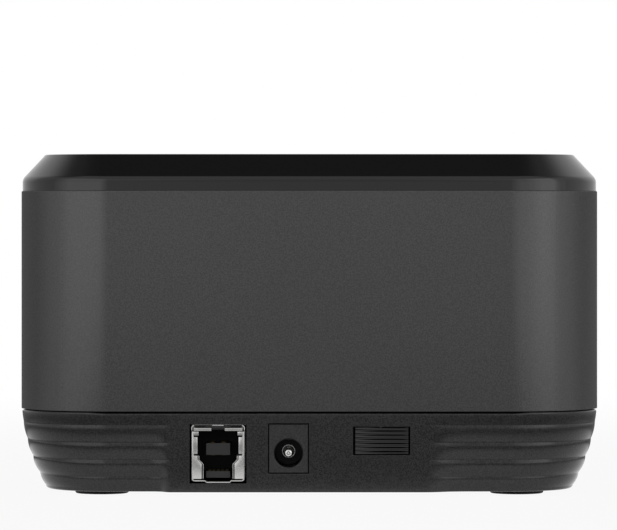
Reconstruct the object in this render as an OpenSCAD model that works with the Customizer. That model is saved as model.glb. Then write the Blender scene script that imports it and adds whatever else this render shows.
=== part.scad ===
// Desktop dock that takes one upright hard drive, 3.5 inch or 2.5 inch wide.
// The origin is the middle of the footprint, on the surface that the feet stand on.
// +Z is up, -Y is the front and +Y is the rear, where the sockets and the switch are.

/* [Case] */
// Width across the body sleeve
body_w = 135; // [128:1:165]
// Depth of the body sleeve, front to rear
body_d = 82; // [78:1:110]
// Radius of the upright corners
corner_r = 21; // [17:0.5:24]
// Wall of the body sleeve
sleeve_wall = 2.2; // [1.8:0.1:2.8]
// Height of the base, from its underside to the parting line
base_h = 18.6; // [18:0.1:24]
// Height of the body sleeve
sleeve_h = 50.8; // [44:0.2:70]
// Height of the top cover above the sleeve
cover_h = 8.5; // [7.5:0.1:11]
// Height of the groove between the base and the sleeve
reveal_h = 0.45; // [0.2:0.05:0.8]
// Depth of that groove
reveal_depth = 1; // [0.6:0.1:1.2]

/* [Top cover] */
// How far the cover stands inside the sleeve's outline
cover_inset = 0.25; // [0:0.05:0.6]
// Height of the groove between the cover and the sleeve
cover_reveal_h = 0.15; // [0.1:0.05:0.5]
// Depth of that groove
cover_reveal_depth = 0.5; // [0.3:0.1:1]
// Width of the bevel round the top
bevel_w = 5.35; // [3:0.05:6]
// Height of that bevel
bevel_h = 5.7; // [3:0.1:6.2]
// Rounding where the bevel meets the rim
bevel_round = 2.1; // [0.4:0.1:2.4]
// Thickness of the cover's side wall inside the bevel
cover_wall = 5.6; // [5:0.1:7]

/* [Base] */
// Thickness of the base floor
floor_t = 2; // [1.6:0.1:2.2]
// Thickness of the rear panel that holds the sockets
panel_t = 2.2; // [1.6:0.1:2.8]
// Distance from the middle to the end of the flat rear panel, on the USB side
panel_usb_x = 31.5; // [30:0.5:36]
// The same on the switch side
panel_switch_x = 26; // [25.5:0.5:30]
// Length over which the bands fade into the panel, on the USB side
fade_usb_l = 5; // [4:0.5:8]
// The same on the switch side
fade_switch_l = 12; // [8:0.5:14]
// How far the base stands inside the sleeve at its rim
rim_inset = 0.15; // [0:0.05:0.4]
// How far the sides of the base draw in from the rim to the underside
taper = 5.9; // [4:0.1:7]
// Share of that taper at the front and the rear
end_taper = 0.5; // [0.3:0.05:1]
// How sharply that taper turns in near the underside
taper_power = 1.55; // [1.2:0.05:2]
// Height of the first band
first_band_h = 2.65; // [2.4:0.05:3.2]
// Height of the bands below it
band_h = 3.97; // [3.6:0.01:4.1]
// Bulge of a band of full height, which each band below the first adds once more
band_bulge = 0.085; // [0.02:0.005:0.12]

/* [Feet and screws] */
// Distance from the side of the sleeve to the middle of a foot
foot_side = 19; // [18:0.5:22]
// Distance from the front or rear of the sleeve to the middle of a foot
foot_end = 18; // [15:0.5:20]
// Radius of a foot
foot_r = 6.25; // [5:0.25:7]
// Height of a foot that shows below the base
foot_show = 1.2; // [0.8:0.1:2.5]
// Depth of the recess that a foot sits in
foot_sink = 1; // [0.6:0.1:1.4]
// Radius of a case screw's shank
case_screw_r = 1.5; // [1.2:0.05:1.6]
// Radius of a board screw's shank
board_screw_r = 1.1; // [0.9:0.05:1.2]

/* [Drive bay] */
// Length of the slot in the cover
slot_w = 104; // [103:0.5:106]
// Width of the slot in the cover
slot_d = 31.6; // [31:0.2:34]
// Lead-in bevel round the slot
slot_bevel = 0.8; // [0.4:0.1:1]
// Wall of the bay liner
bay_wall = 1.8; // [1.4:0.1:2]
// Thickness of the bay floor
bay_floor_t = 1.8; // [1.4:0.1:2.4]
// Height of the bay floor above the board
bay_floor_lift = 5.5; // [5:0.1:6]
// Height of the drive guide ribs
guide_h = 18; // [10:0.5:18]
// Length of the small door, for a 2.5 inch drive
small_door_w = 71; // [70.5:0.25:74]
// Width of the small door
small_door_d = 12.7; // [11:0.1:14]
// Middle of the small door along the slot
small_door_x = -7.2; // [-9:0.1:-5]
// Thickness of the doors
door_t = 2.2; // [1.8:0.1:2.6]
// How far the doors lie below the top of the cover
door_sink = 1.3; // [0.8:0.1:1.8]
// Radius of the door shaft
shaft_r = 1; // [0.8:0.05:1.1]
// Radius of the barrels that turn on the shaft
barrel_r = 2; // [1.9:0.05:2.2]
// Gap all round the doors
door_gap = 0.3; // [0.2:0.05:0.5]

/* [Door springs] */
// Mean radius of the coils
coil_r = 1.6; // [1.5:0.05:1.7]
// Radius of the spring wire
wire_r = 0.25; // [0.2:0.05:0.3]
// Distance from one turn to the next
coil_pitch = 1.05; // [1:0.05:1.3]
// Number of full turns
coil_turns = 6; // [4:1:7]

/* [Board] */
// Thickness of the circuit board
board_t = 1.6; // [1.2:0.1:2]
// Depth of the board's underside below the parting line
board_drop = 3; // [2.6:0.1:3.4]
// Width of the board
board_w = 84; // [80:1:86]
// Middle of the drive socket along the slot
sata_x = -18.6; // [-20:0.1:-16]
// Height of the drive socket
sata_h = 8.6; // [8:0.1:9.4]

/* [Rear sockets] */
// Middle of the USB socket
usb_x = 21; // [18:0.1:22.5]
// Width of the USB shell
usb_w = 12.4; // [12:0.1:12.8]
// Height of the USB shell
usb_h = 13.1; // [12.6:0.1:13.2]
// Length of the USB shell
usb_l = 17; // [14:0.5:18]
// Sheet thickness of the USB shell
shell_t = 0.35; // [0.25:0.05:0.5]
// Middle of the power jack
jack_x = 4.8; // [3:0.1:6]
// Width of the power jack
jack_w = 9; // [8.6:0.1:9.4]
// Height of the power jack
jack_h = 11.1; // [10.6:0.1:11.4]
// Length of the power jack
jack_l = 13.5; // [12:0.5:15]
// Radius of the jack's hole
jack_hole_r = 3.2; // [3:0.05:3.3]
// Depth of the jack's hole
jack_hole_l = 9.8; // [8:0.2:10.5]
// Radius of the jack's centre pin
jack_pin_r = 1; // [0.8:0.05:1.25]
// Gap beside the USB socket in its cut-out
usb_gap = 0.35; // [0.2:0.05:0.5]
// Gap round the power jack in its cut-out
jack_gap = 0.2; // [0.15:0.05:0.5]

/* [Power switch] */
// Middle of the rocker
rocker_x = -16.5; // [-18:0.1:-15]
// Length of the rocker's face
rocker_w = 12.2; // [11:0.1:13]
// Height of the rocker
rocker_h = 6.1; // [5.2:0.1:6.3]
// Depth of the pivot behind the rear panel's face
rocker_pivot = 3.3; // [3.3:0.1:5]
// Hollow of the rocker's face
rocker_hollow = 0.75; // [0.4:0.05:1]
// Tilt of the rocker to each side
rocker_tilt = 3.2; // [2.4:0.2:6]
// Number of ridges across the rocker
rocker_ridges = 6; // [4:1:7]
// Gap all round the rocker
rocker_gap = 0.22; // [0.15:0.01:0.3]
// Least gap in the panel at the rocker's end beside the power jack
rocker_jack_gap = 0.15; // [0.12:0.01:0.4]
// Least gap in the panel at the rocker's far end
rocker_far_gap = 0.4; // [0.12:0.01:0.6]

/* [Hidden] */
$fn = 64;

// Gap of a turning fit, and gap round pieces that do not move
turn_gap = 0.05;
fit_gap = 0.1;
// Length by which shapes that join run into each other and cuts run past a face
lap = 0.5;

// Levels from the table upwards
base_z = foot_show;
floor_z = base_z + floor_t;
seam_z = base_z + base_h;
rim_z = seam_z - reveal_h;
sleeve_top_z = seam_z + sleeve_h;
top_z = sleeve_top_z + cover_h;
board_z = seam_z - board_drop;
board_top_z = board_z + board_t;

// Locating lips inside the sleeve
lip_t = 1.25;
lip_h = 2.5;
lip_gap = 0.15;
lip_out = sleeve_wall + lip_gap;
lip_in = lip_out + lip_t;

// Room inside the bay liner, wide enough for the door stops
stop_w = 1.5;
bay_x = slot_w / 2 + stop_w;
bay_y = slot_d / 2 + door_gap;
bay_clear = 0.6;

// Feet, and the screw posts above them, which stand clear of the bay liner
pillar_r = 3.6;
foot_x = body_w / 2 - foot_side;
foot_y = max(body_d / 2 - foot_end, bay_y + bay_wall + bay_clear + pillar_r);
foot_gap = 0.15;
foot_round = 0.7;
post_r = 4.6;
head_r = 2.8;
head_h = 2.2;
head_seat_z = base_z + 10.8;
head_bore_r = head_r + 0.3;
case_screw_grip = 10;
screw_slot_w = 0.7;

// Doors and the shaft that they turn on
door_top_z = top_z - door_sink - 0.2;
axis_y = slot_d / 2 - door_gap - barrel_r;
axis_z = top_z - door_sink - barrel_r;
door_z = door_top_z - door_t;
door_front_y = -slot_d / 2 + door_gap;
small_x0 = small_door_x - small_door_w / 2;
small_x1 = small_door_x + small_door_w / 2;
small_y = axis_y - barrel_r - small_door_d;
shaft_bore_r = shaft_r + turn_gap;
cover_under_z = axis_z + shaft_r + fit_gap;
stop_l = 5;
stop_z = cover_under_z - 0.25;

// Bay liner
bay_z = board_top_z + bay_floor_lift;
bay_floor_z = bay_z + bay_floor_t;
bay_top_z = cover_under_z - 0.2;
shaft_l = 2 * (bay_x + bay_wall) - 0.6;
drive_rear_y = axis_y - barrel_r - 0.2;
drive_half_w = 51.4;
guide_t = 2;
side_guides = [-12, -4, 4];
rear_guides = [-46, 10, 28, 46];
bay_screw_x = 30;
bay_screw_r = 1.1;
bay_screw_grip = 5.5;
ear_r = 3;
ear_t = 2;
ear_z = sleeve_top_z - 2.6;
bay_screw_y = bay_y + bay_wall + ear_r + 0.4;
boss_r = 2.6;

// Springs: each sits in a notch of its door
notch_half = coil_pitch * coil_turns / 2 + wire_r + 0.7;
notch_l = 4.6;
small_spring_x = small_door_x;
large_spring_x = (small_x1 + door_gap + slot_w / 2) / 2;
leg_lean = 35;
leg_under = door_z - axis_z - wire_r - 0.06;

// Board outline, screws and the lamp at its front, whose light guide clears the bay liner
panel_y = body_d / 2 - rim_inset;
panel_in_y = panel_y - panel_t;
guide_r = 1.5;
lamp_y = min(-body_d / 2 + 20, -bay_y - bay_wall - bay_clear - guide_r);
board_y0 = lamp_y - 3;
board_y1 = body_d / 2 - lip_in - 0.5;
board_hole_x = board_w / 2 - 5;
board_hole_y0 = board_y0 + 5;
board_hole_y1 = body_d / 2 - 19;
board_post_r = 3;
lamp_h = 1.1;
guide_z = board_top_z + 8.2;
collar_l = 5;
collar_wall = 1.5;

// Drive socket
sata_y = drive_rear_y - 4.6;
sata_w = 42;
sata_d = 6.4;
sata_post_w = 2.6;
sata_post_h = sata_h + 3.4;
sata_slot_d = 2;
sata_slot_h = 6.2;
sata_gap = 0.8;
power_x0 = sata_x - 16.7;
power_w = 20.9;
data_x0 = power_x0 + power_w + 2.1;
data_w = 10.4;
pin_pitch = 1.27;

// USB socket, hung under the board with its wide end up
usb_z = board_z - usb_h;
usb_front_y = panel_y - 0.25;
usb_back_y = usb_front_y - usb_l;
usb_open_top = 1.3;
usb_open_half = 4.75;
usb_step_z = 7.8;
usb_step_h = 1;
usb_low_half = 3.87;
usb_lip_l = 1.4;
usb_notch_w = 3.2;
usb_bulge_w = 6;
usb_bulge_h = 0.35;
usb_cavity_l = 9.5;
usb_round = 0.9;
usb_tongue_half = 2.75;
usb_tongue_l = 8.6;
usb_thick_top = usb_z + usb_h - 4.35;
usb_thick_h = 2.7;
usb_thin_top = usb_z + usb_h - 10.8;
usb_thin_h = 1.5;

// Power jack
jack_z = board_z - jack_h;
jack_front_y = panel_y - 0.3;
jack_back_y = jack_front_y - jack_l;
jack_hole_z = board_z - 6.6;
jack_flange_r = 1.45;
jack_tail_z = board_top_z + 0.8;
jack_leaf_y = jack_front_y - 8.2;

// Rocker switch
rocker_z = board_z - 3.75;
rocker_y = panel_y - rocker_pivot;
rocker_r = sqrt(pow(rocker_w / 2, 2) + pow(rocker_pivot, 2));
rocker_sway = rocker_w / 2 + rocker_pivot * sin(rocker_tilt);
rocker_face_r = (pow(rocker_w / 2, 2) + pow(rocker_hollow, 2)) / (2 * rocker_hollow);
rocker_pin_r = 0.7;
rocker_pin_l = 0.42;
rocker_bore_r = rocker_r + rocker_gap;
rocker_open_h = rocker_h + 2 * rocker_gap;
switch_half = rocker_bore_r + 0.8;
switch_y0 = rocker_y - rocker_bore_r - 1.2;
switch_y1 = panel_in_y - 0.2;

// Colours
gloss_black = [0.05, 0.05, 0.055];
sleeve_grey = [0.2, 0.2, 0.205];
base_grey = [0.15, 0.15, 0.155];
dark_plastic = [0.08, 0.08, 0.085];
rubber_black = [0.03, 0.03, 0.03];
steel = [0.7, 0.7, 0.72];
gold = [0.85, 0.68, 0.3];
board_green = [0.05, 0.25, 0.13];
lamp_clear = [0.85, 0.9, 0.95];

// Block from one corner to the opposite one
module block(a, b) {
    translate(a) cube(b - a);
}

module rounded_square(w, d, r) {
    square([w - 2 * r, d], center = true);
    square([w, d - 2 * r], center = true);
    for (sx = [-1, 1], sy = [-1, 1])
        translate([sx * (w / 2 - r), sy * (d / 2 - r)]) circle(r);
}

// Slab that follows the case outline, drawn in by the same distance all round
module slab(inset, z0, z1) {
    translate([0, 0, z0])
        linear_extrude(z1 - z0)
            rounded_square(body_w - 2 * inset, body_d - 2 * inset, corner_r - inset);
}

module at_corners(x, y) {
    for (sx = [-1, 1], sy = [-1, 1])
        translate([sx * x, sy * y, 0]) children();
}

// Carries a profile round the case outline. Its X is the distance outwards from the
// middle of a corner, its Y the height.
module round_case() {
    half_w = body_w / 2 - corner_r;
    half_d = body_d / 2 - corner_r;
    for (k = [0:3])
        translate([(k == 0 || k == 3 ? 1 : -1) * half_w, (k < 2 ? 1 : -1) * half_d, 0])
            rotate([0, 0, 90 * k]) rotate_extrude(angle = 90) children();
    for (k = [0:3])
        rotate([0, 0, 90 * k])
            translate([k % 2 == 0 ? half_w : half_d, 0, 0])
                rotate([90, 0, 0])
                    linear_extrude(2 * (k % 2 == 0 ? half_d : half_w), center = true)
                        children();
}

function arc(c, r, a0, a1, n) =
    [for (i = [0:n]) let (a = a0 + (a1 - a0) * i / n) c + r * [cos(a), sin(a)]];

function smooth(t) = t * t * (3 - 2 * t);

// Strength of the bands beside the panel: a soft edge, then a hollow sweep out to full depth
function strength(t) = (1 - pow(1 - t, 2.4)) * smooth(min(1, t / 0.35));

// Top cover: a rim with a rounded lower edge, then the bevel up to the flat top
module cover_profile() {
    r = corner_r - cover_inset;
    z0 = sleeve_top_z;
    edge = 0.25;
    rim_top = top_z - bevel_h;
    turn = atan2(bevel_w, bevel_h);
    tangent = bevel_round * tan(turn / 2);
    top_round = 0.5;
    top_turn = 90 - turn;
    top_tangent = top_round * tan(top_turn / 2);
    polygon(concat(
        [[0, z0], [r - cover_reveal_depth, z0], [r - cover_reveal_depth, z0 + cover_reveal_h]],
        arc([r - edge, z0 + cover_reveal_h + edge], edge, -90, 0, 4),
        arc([r - bevel_round, rim_top - tangent], bevel_round, 0, turn, 7),
        arc([r - bevel_w - top_tangent, top_z - top_round], top_round, turn, 90, 4),
        [[0, top_z]]));
}

module cover_skin() {
    round_case() cover_profile();
    translate([0, 0, (sleeve_top_z + top_z) / 2])
        cube([body_w - 2 * corner_r, body_d - 2 * corner_r, cover_h], center = true);
}

// Slanted lead-in round the slot
module slot_lead() {
    a = [slot_w / 2, slot_d / 2];
    b = a + [slot_bevel, slot_bevel];
    low = top_z - slot_bevel;
    polyhedron(
        [for (p = [[-1, -1], [1, -1], [1, 1], [-1, 1]]) [p[0] * a[0], p[1] * a[1], low],
         for (p = [[-1, -1], [1, -1], [1, 1], [-1, 1]]) [p[0] * b[0], p[1] * b[1], top_z],
         for (p = [[-1, -1], [1, -1], [1, 1], [-1, 1]]) [p[0] * b[0], p[1] * b[1], top_z + lap]],
        concat([[0, 1, 2, 3], [11, 10, 9, 8]],
            [for (k = [0, 4], i = [0:3]) [k + i, k + 4 + i, k + 4 + (i + 1) % 4, k + (i + 1) % 4]]));
}

module top_cover() {
    color(gloss_black)
        difference() {
            union() {
                difference() {
                    cover_skin();
                    slab(cover_wall, sleeve_top_z - lap, cover_under_z);
                }
                difference() {
                    slab(lip_out, sleeve_top_z - lip_h, sleeve_top_z + lap);
                    slab(lip_in, sleeve_top_z - lip_h - lap, sleeve_top_z + 2 * lap);
                }
                at_corners(foot_x, foot_y)
                    translate([0, 0, seam_z])
                        cylinder(r = pillar_r, h = cover_under_z + lap - seam_z);
                at_corners(bay_screw_x, bay_screw_y)
                    translate([0, 0, ear_z])
                        cylinder(r = boss_r, h = cover_under_z + lap - ear_z);
            }
            block([-slot_w / 2, -slot_d / 2, cover_under_z - lap],
                [slot_w / 2, slot_d / 2, top_z + lap]);
            slot_lead();
            at_corners(foot_x, foot_y)
                translate([0, 0, seam_z - lap])
                    cylinder(r = case_screw_r + turn_gap, h = case_screw_grip + 1 + lap);
            at_corners(bay_screw_x, bay_screw_y)
                translate([0, 0, ear_z - lap])
                    cylinder(r = bay_screw_r + turn_gap, h = bay_screw_grip + 0.6 + lap);
        }
}

// Body sleeve, with a collar that carries the light guide
module body_sleeve() {
    color(sleeve_grey)
        difference() {
            union() {
                difference() {
                    slab(0, seam_z, sleeve_top_z);
                    slab(sleeve_wall, seam_z - lap, sleeve_top_z + lap);
                }
                translate([0, -body_d / 2 + sleeve_wall - lap, guide_z])
                    rotate([-90, 0, 0]) cylinder(r = guide_r + collar_wall, h = collar_l + lap);
            }
            translate([0, -body_d / 2 - lap, guide_z])
                rotate([-90, 0, 0])
                    cylinder(r = guide_r + fit_gap, h = sleeve_wall + collar_l + 2 * lap);
        }
}

// How far the base is drawn in at a height, along the creases between its bands
function draw_in(z) = rim_inset + taper * pow((seam_z - z) / base_h, taper_power);

// Heights of the creases, from the rim to just above the rounded lower edge
edge_h = 0.7;
crease_z = concat([rim_z], [for (i = [0:3]) rim_z - first_band_h - i * band_h], [base_z + edge_h]);

// Rows of the base skin as [height, inset, bulge]: each band bows out between two creases
band_steps = 5;
base_rows = concat(
    [for (i = [0:4], j = [0:band_steps - 1])
        let (t = j / band_steps, z0 = crease_z[i], z1 = crease_z[i + 1])
            [z0 + (z1 - z0) * t, draw_in(z0) + (draw_in(z1) - draw_in(z0)) * t,
                4 * band_bulge * (i + 1) * pow((z0 - z1) / band_h, 2) * t * (1 - t)]],
    [for (a = [0, 45, 90])
        [base_z + edge_h * (1 - sin(a)), draw_in(base_z + edge_h) + edge_h * (1 - cos(a)), 0]]);

// Columns of the base skin as [x, y, normal x, normal y, share of the taper, strength of the bands]
corner_steps = 10;
fade_steps = 6;
base_columns = concat(
    corner_columns(0),
    [for (j = [0:fade_steps]) fade_column(1, panel_usb_x, fade_usb_l, 1 - j / fade_steps)],
    [for (j = [0:fade_steps]) fade_column(-1, panel_switch_x, fade_switch_l, j / fade_steps)],
    corner_columns(1), corner_columns(2), corner_columns(3));

function fade_column(side, start, length, t) =
    let (u = pow(t, 1.4), s = strength(u))
        [side * (start + length * u), body_d / 2, 0, 1, end_taper * s, s];

function corner_columns(k) =
    [for (i = [0:corner_steps])
        let (a = 90 * (k + i / corner_steps), sx = k == 0 || k == 3 ? 1 : -1, sy = k < 2 ? 1 : -1)
            [sx * (body_w / 2 - corner_r) + corner_r * cos(a),
                sy * (body_d / 2 - corner_r) + corner_r * sin(a), cos(a), sin(a),
                end_taper + (1 - end_taper) * pow(cos(a), 2), 1]];

module base_skin() {
    n = len(base_columns);
    m = len(base_rows);
    points = concat(
        [for (r = base_rows, c = base_columns)
            let (inset = max(0, rim_inset + (r[1] - rim_inset) * c[4] - r[2] * c[5]))
                [c[0] - c[2] * inset, c[1] - c[3] * inset, r[0]]],
        [[0, 0, rim_z], [0, 0, base_z]]);
    sides = [for (r = [0:m - 2], c = [0:n - 1])
        let (d = (c + 1) % n) each [[r * n + c, r * n + d, r * n + n + c],
            [r * n + d, r * n + n + d, r * n + n + c]]];
    caps = [for (c = [0:n - 1])
        let (d = (c + 1) % n) each [[n * m, d, c], [n * m + 1, (m - 1) * n + c, (m - 1) * n + d]]];
    polyhedron(points, concat(sides, caps));
}

// Hollow of the base in steps that keep its wall behind the taper
module base_hollow() {
    wall = 2.6;
    step1 = floor_z + 5;
    step2 = step1 + 5;
    slab(draw_in(floor_z) + wall, floor_z, seam_z + lap);
    slab(draw_in(step1) + wall, step1, seam_z + lap);
    slab(max(lip_in, draw_in(step2) + wall - lap), step2, seam_z + lap);
    block([-panel_switch_x - lap, 0, floor_z], [panel_usb_x - 2, panel_in_y, seam_z - 0.9]);
}

module base_tray() {
    color(base_grey)
        difference() {
            union() {
                difference() {
                    union() {
                        base_skin();
                        slab(reveal_depth, rim_z - 2, seam_z);
                    }
                    base_hollow();
                }
                difference() {
                    slab(lip_out, seam_z - lap, seam_z + lip_h);
                    slab(lip_in, seam_z - 2 * lap, seam_z + lip_h + lap);
                }
                at_corners(foot_x, foot_y)
                    translate([0, 0, floor_z - lap]) cylinder(r = post_r, h = seam_z - floor_z + lap);
                board_places()
                    translate([0, 0, floor_z - lap])
                        cylinder(r = board_post_r, h = board_z - floor_z + lap);
            }
            at_corners(foot_x, foot_y) {
                translate([0, 0, base_z - lap])
                    cylinder(r = foot_r + foot_gap, h = foot_sink + lap);
                translate([0, 0, base_z]) cylinder(r = head_bore_r, h = head_seat_z - base_z);
                translate([0, 0, base_z]) cylinder(r = case_screw_r + 0.2, h = base_h + lap);
            }
            board_places()
                translate([0, 0, floor_z + 2])
                    cylinder(r = board_screw_r + turn_gap, h = board_z - floor_z);
            block([usb_x - usb_w / 2 - usb_gap, panel_in_y - lap, usb_z - usb_bulge_h - fit_gap],
                [usb_x + usb_w / 2 + usb_gap, panel_y + lap, board_z + fit_gap]);
            block([jack_x - jack_w / 2 - jack_gap, panel_in_y - lap, jack_z - jack_gap],
                [jack_x + jack_w / 2 + jack_gap, panel_y + lap, board_z + jack_gap + fit_gap]);
            translate([rocker_x, rocker_y, rocker_z]) {
                cylinder(r = rocker_bore_r, h = rocker_open_h, center = true);
                block([-rocker_sway - rocker_far_gap, rocker_pivot - panel_t - lap, -rocker_open_h / 2],
                    [rocker_sway + rocker_jack_gap, rocker_pivot + lap, rocker_open_h / 2]);
            }
        }
}

// Bay liner: a box open at the top, with ribs that guide the drive to its socket
module bay_liner() {
    color(dark_plastic)
        difference() {
            union() {
                difference() {
                    block([-bay_x - bay_wall, -bay_y - bay_wall, bay_z],
                        [bay_x + bay_wall, bay_y + bay_wall, bay_top_z]);
                    block([-bay_x, -bay_y, bay_floor_z], [bay_x, bay_y, bay_top_z + lap]);
                }
                for (s = [-1, 1], y = side_guides)
                    block([s > 0 ? drive_half_w : -bay_x - lap, y - guide_t / 2, bay_floor_z - lap],
                        [s > 0 ? bay_x + lap : -drive_half_w, y + guide_t / 2, bay_floor_z + guide_h]);
                for (x = rear_guides)
                    block([x - guide_t / 2, drive_rear_y, bay_floor_z - lap],
                        [x + guide_t / 2, bay_y + lap, bay_floor_z + guide_h]);
                for (sx = [-1, 1], sy = [-1, 1])
                    translate([sx * bay_screw_x, sy * bay_screw_y, ear_z - ear_t]) {
                        cylinder(r = ear_r, h = ear_t);
                        translate([-ear_r, sy > 0 ? -ear_r - 1 : 0, 0])
                            cube([2 * ear_r, ear_r + 1, ear_t]);
                    }
            }
            block([sata_x - sata_w / 2 - sata_gap, sata_y - sata_d / 2 - sata_gap, bay_z - lap],
                [sata_x + sata_w / 2 + sata_gap, sata_y + sata_d / 2 + sata_gap, bay_floor_z + lap]);
            at_corners(bay_screw_x, bay_screw_y)
                translate([0, 0, ear_z - ear_t - lap])
                    cylinder(r = bay_screw_r + 0.3, h = ear_t + 2 * lap);
            translate([0, axis_y, axis_z])
                rotate([0, 90, 0]) cylinder(r = shaft_bore_r, h = shaft_l + 2, center = true);
            block([-shaft_l / 2 - 1, axis_y - shaft_bore_r, axis_z],
                [shaft_l / 2 + 1, axis_y + shaft_bore_r, bay_top_z + lap]);
        }
}

module barrel(x0, x1, r) {
    translate([x0, axis_y, axis_z]) rotate([0, 90, 0]) cylinder(r = r, h = x1 - x0);
}

// Room for a spring in the hinged edge of a door
module spring_notch(x) {
    block([x - notch_half, axis_y - notch_l, axis_z - barrel_r - lap],
        [x + notch_half, axis_y + barrel_r + lap, axis_z + barrel_r + lap]);
}

// Large door: a U round the small door, with a stop at each end below the cover
module large_door() {
    half = slot_w / 2 - door_gap;
    color(gloss_black)
        difference() {
            union() {
                block([-half, door_front_y, door_z], [half, small_y - door_gap, door_top_z]);
                block([-half, door_front_y, door_z], [small_x0 - door_gap, axis_y, door_top_z]);
                block([small_x1 + door_gap, door_front_y, door_z], [half, axis_y, door_top_z]);
                barrel(-half, small_x0 - door_gap, barrel_r);
                barrel(small_x1 + door_gap, half, barrel_r);
                for (s = [-1, 1])
                    block([s > 0 ? half - lap : -half - stop_w + door_gap, door_front_y + 1, door_z],
                        [s > 0 ? half + stop_w - door_gap : -half + lap, door_front_y + 1 + stop_l,
                            stop_z]);
            }
            barrel(-half - lap, half + lap, shaft_bore_r);
            spring_notch(large_spring_x);
        }
}

// Small door: the part of the slot that a 2.5 inch drive goes through
module small_door() {
    color(gloss_black)
        difference() {
            union() {
                block([small_x0, small_y, door_z], [small_x1, axis_y, door_top_z]);
                barrel(small_x0, small_x1, barrel_r);
            }
            barrel(small_x0 - lap, small_x1 + lap, shaft_bore_r);
            spring_notch(small_spring_x);
        }
}

module door_shaft() {
    color(steel) barrel(-shaft_l / 2, shaft_l / 2, shaft_r);
}

// Torsion spring round the shaft: one leg lifts the door, the other leans on the liner.
// Each ring of the path is [middle, outward direction].
function spring_path() =
    let (h = coil_pitch * coil_turns / 2, last = 360 * (coil_turns - 1) + 85 + leg_lean,
        a0 = 90 + leg_lean, out0 = [0, cos(a0), sin(a0)], slide0 = -[0, sin(a0), -cos(a0)],
        reach = (coil_r * sin(a0) - leg_under) / sin(leg_lean),
        a1 = a0 - last, out1 = [0, cos(a1), sin(a1)], slide1 = [0, sin(a1), -cos(a1)],
        bend = [-h, 0, 0] + coil_r * out0 + reach * slide0)
    concat(
        [[bend + [0, -5, 0], [0, 0, 1]], [bend + [0, -0.3, 0], [0, 0, 1]]],
        [[bend - 0.3 * slide0, out0]],
        [for (i = [0:ceil(last / 45)]) let (t = min(1, i * 45 / last), a = a0 - last * t)
            [[h * (2 * t - 1), coil_r * cos(a), coil_r * sin(a)], [0, cos(a), sin(a)]]],
        [[[h, 0, 0] + coil_r * out1 + 6 * slide1, out1]]);

wire_sides = 6;

module wire(path) {
    n = len(path);
    rings = [for (i = [0:n - 1])
        let (tangent = path[min(n - 1, i + 1)][0] - path[max(0, i - 1)][0],
            side = cross(tangent, path[i][1]), along = side / norm(side),
            up = cross(along, tangent) / norm(tangent))
        for (k = [0:wire_sides - 1])
            let (a = 360 * k / wire_sides) path[i][0] + wire_r * (cos(a) * up + sin(a) * along)];
    polyhedron(rings, concat(
        [[for (k = [0:wire_sides - 1]) k]],
        [[for (k = [0:wire_sides - 1]) n * wire_sides - 1 - k]],
        [for (i = [0:n - 2], k = [0:wire_sides - 1])
            let (a = i * wire_sides + k, b = i * wire_sides + (k + 1) % wire_sides)
                each [[a, a + wire_sides, b], [b, a + wire_sides, b + wire_sides]]]));
}

// Least gap between two turns, measured on the middles of the rings one turn apart
function turn_clearance(p) =
    min([for (i = [3:len(p) - 6], j = [i + 4:len(p) - 2]) norm(p[i][0] - p[j][0])]) - 2 * wire_r;

module large_door_spring() {
    color(steel) translate([large_spring_x, axis_y, axis_z]) wire(spring_path());
}

module small_door_spring() {
    color(steel) translate([small_spring_x, axis_y, axis_z]) wire(spring_path());
}

module board_places() {
    for (s = [-1, 1], y = [board_hole_y0, board_hole_y1])
        translate([s * board_hole_x, y, 0]) children();
}

// Circuit board with holes for its screws and for the legs of the rear sockets
module circuit_board() {
    color(board_green)
        difference() {
            block([-board_w / 2, board_y0, board_z], [board_w / 2, board_y1, board_top_z]);
            board_places()
                translate([0, 0, board_z - lap])
                    cylinder(r = board_screw_r + 0.25, h = board_t + 2 * lap);
            usb_leg_places()
                translate([0, 0, board_z + board_t / 2])
                    cube([shell_t + 0.5, 2.6, board_t + 2 * lap], center = true);
            jack_leg_places()
                translate([0, 0, board_z + board_t / 2])
                    cube([2.6, 1.1, board_t + 2 * lap], center = true);
            terminal_places()
                translate([0, 0, board_z - lap]) cylinder(r = 0.65, h = board_t + 2 * lap);
        }
}

// Drive socket: two slots with a key at one end of each, between two guide posts
module sata_housing() {
    top = board_top_z + sata_h;
    y0 = sata_y - sata_slot_d / 2;
    color(dark_plastic)
        difference() {
            union() {
                block([sata_x - sata_w / 2, sata_y - sata_d / 2, board_top_z],
                    [sata_x + sata_w / 2, sata_y + sata_d / 2, top]);
                for (s = [-1, 1])
                    translate([sata_x + s * (sata_w - sata_post_w) / 2, sata_y, board_top_z])
                        linear_extrude(sata_post_h)
                            square([sata_post_w, sata_d], center = true);
            }
            for (slot = [[power_x0, power_w], [data_x0, data_w]]) {
                block([slot[0], y0, top - sata_slot_h],
                    [slot[0] + slot[1], y0 + sata_slot_d, top + lap]);
                block([slot[0], y0 - 1.1, top - sata_slot_h], [slot[0] + 1.2, y0 + lap, top + lap]);
            }
        }
}

module pin_row(x0, count) {
    top = board_top_z + sata_h;
    for (i = [0:count - 1])
        block([x0 + i * pin_pitch - 0.3, sata_y + sata_slot_d / 2 - 0.3, top - sata_slot_h],
            [x0 + i * pin_pitch + 0.3, sata_y + sata_slot_d / 2, top - 0.6]);
}

module sata_contacts() {
    color(gold) {
        pin_row(power_x0 + (power_w - 14 * pin_pitch) / 2, 15);
        pin_row(data_x0 + (data_w - 6 * pin_pitch) / 2, 7);
    }
}

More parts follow.
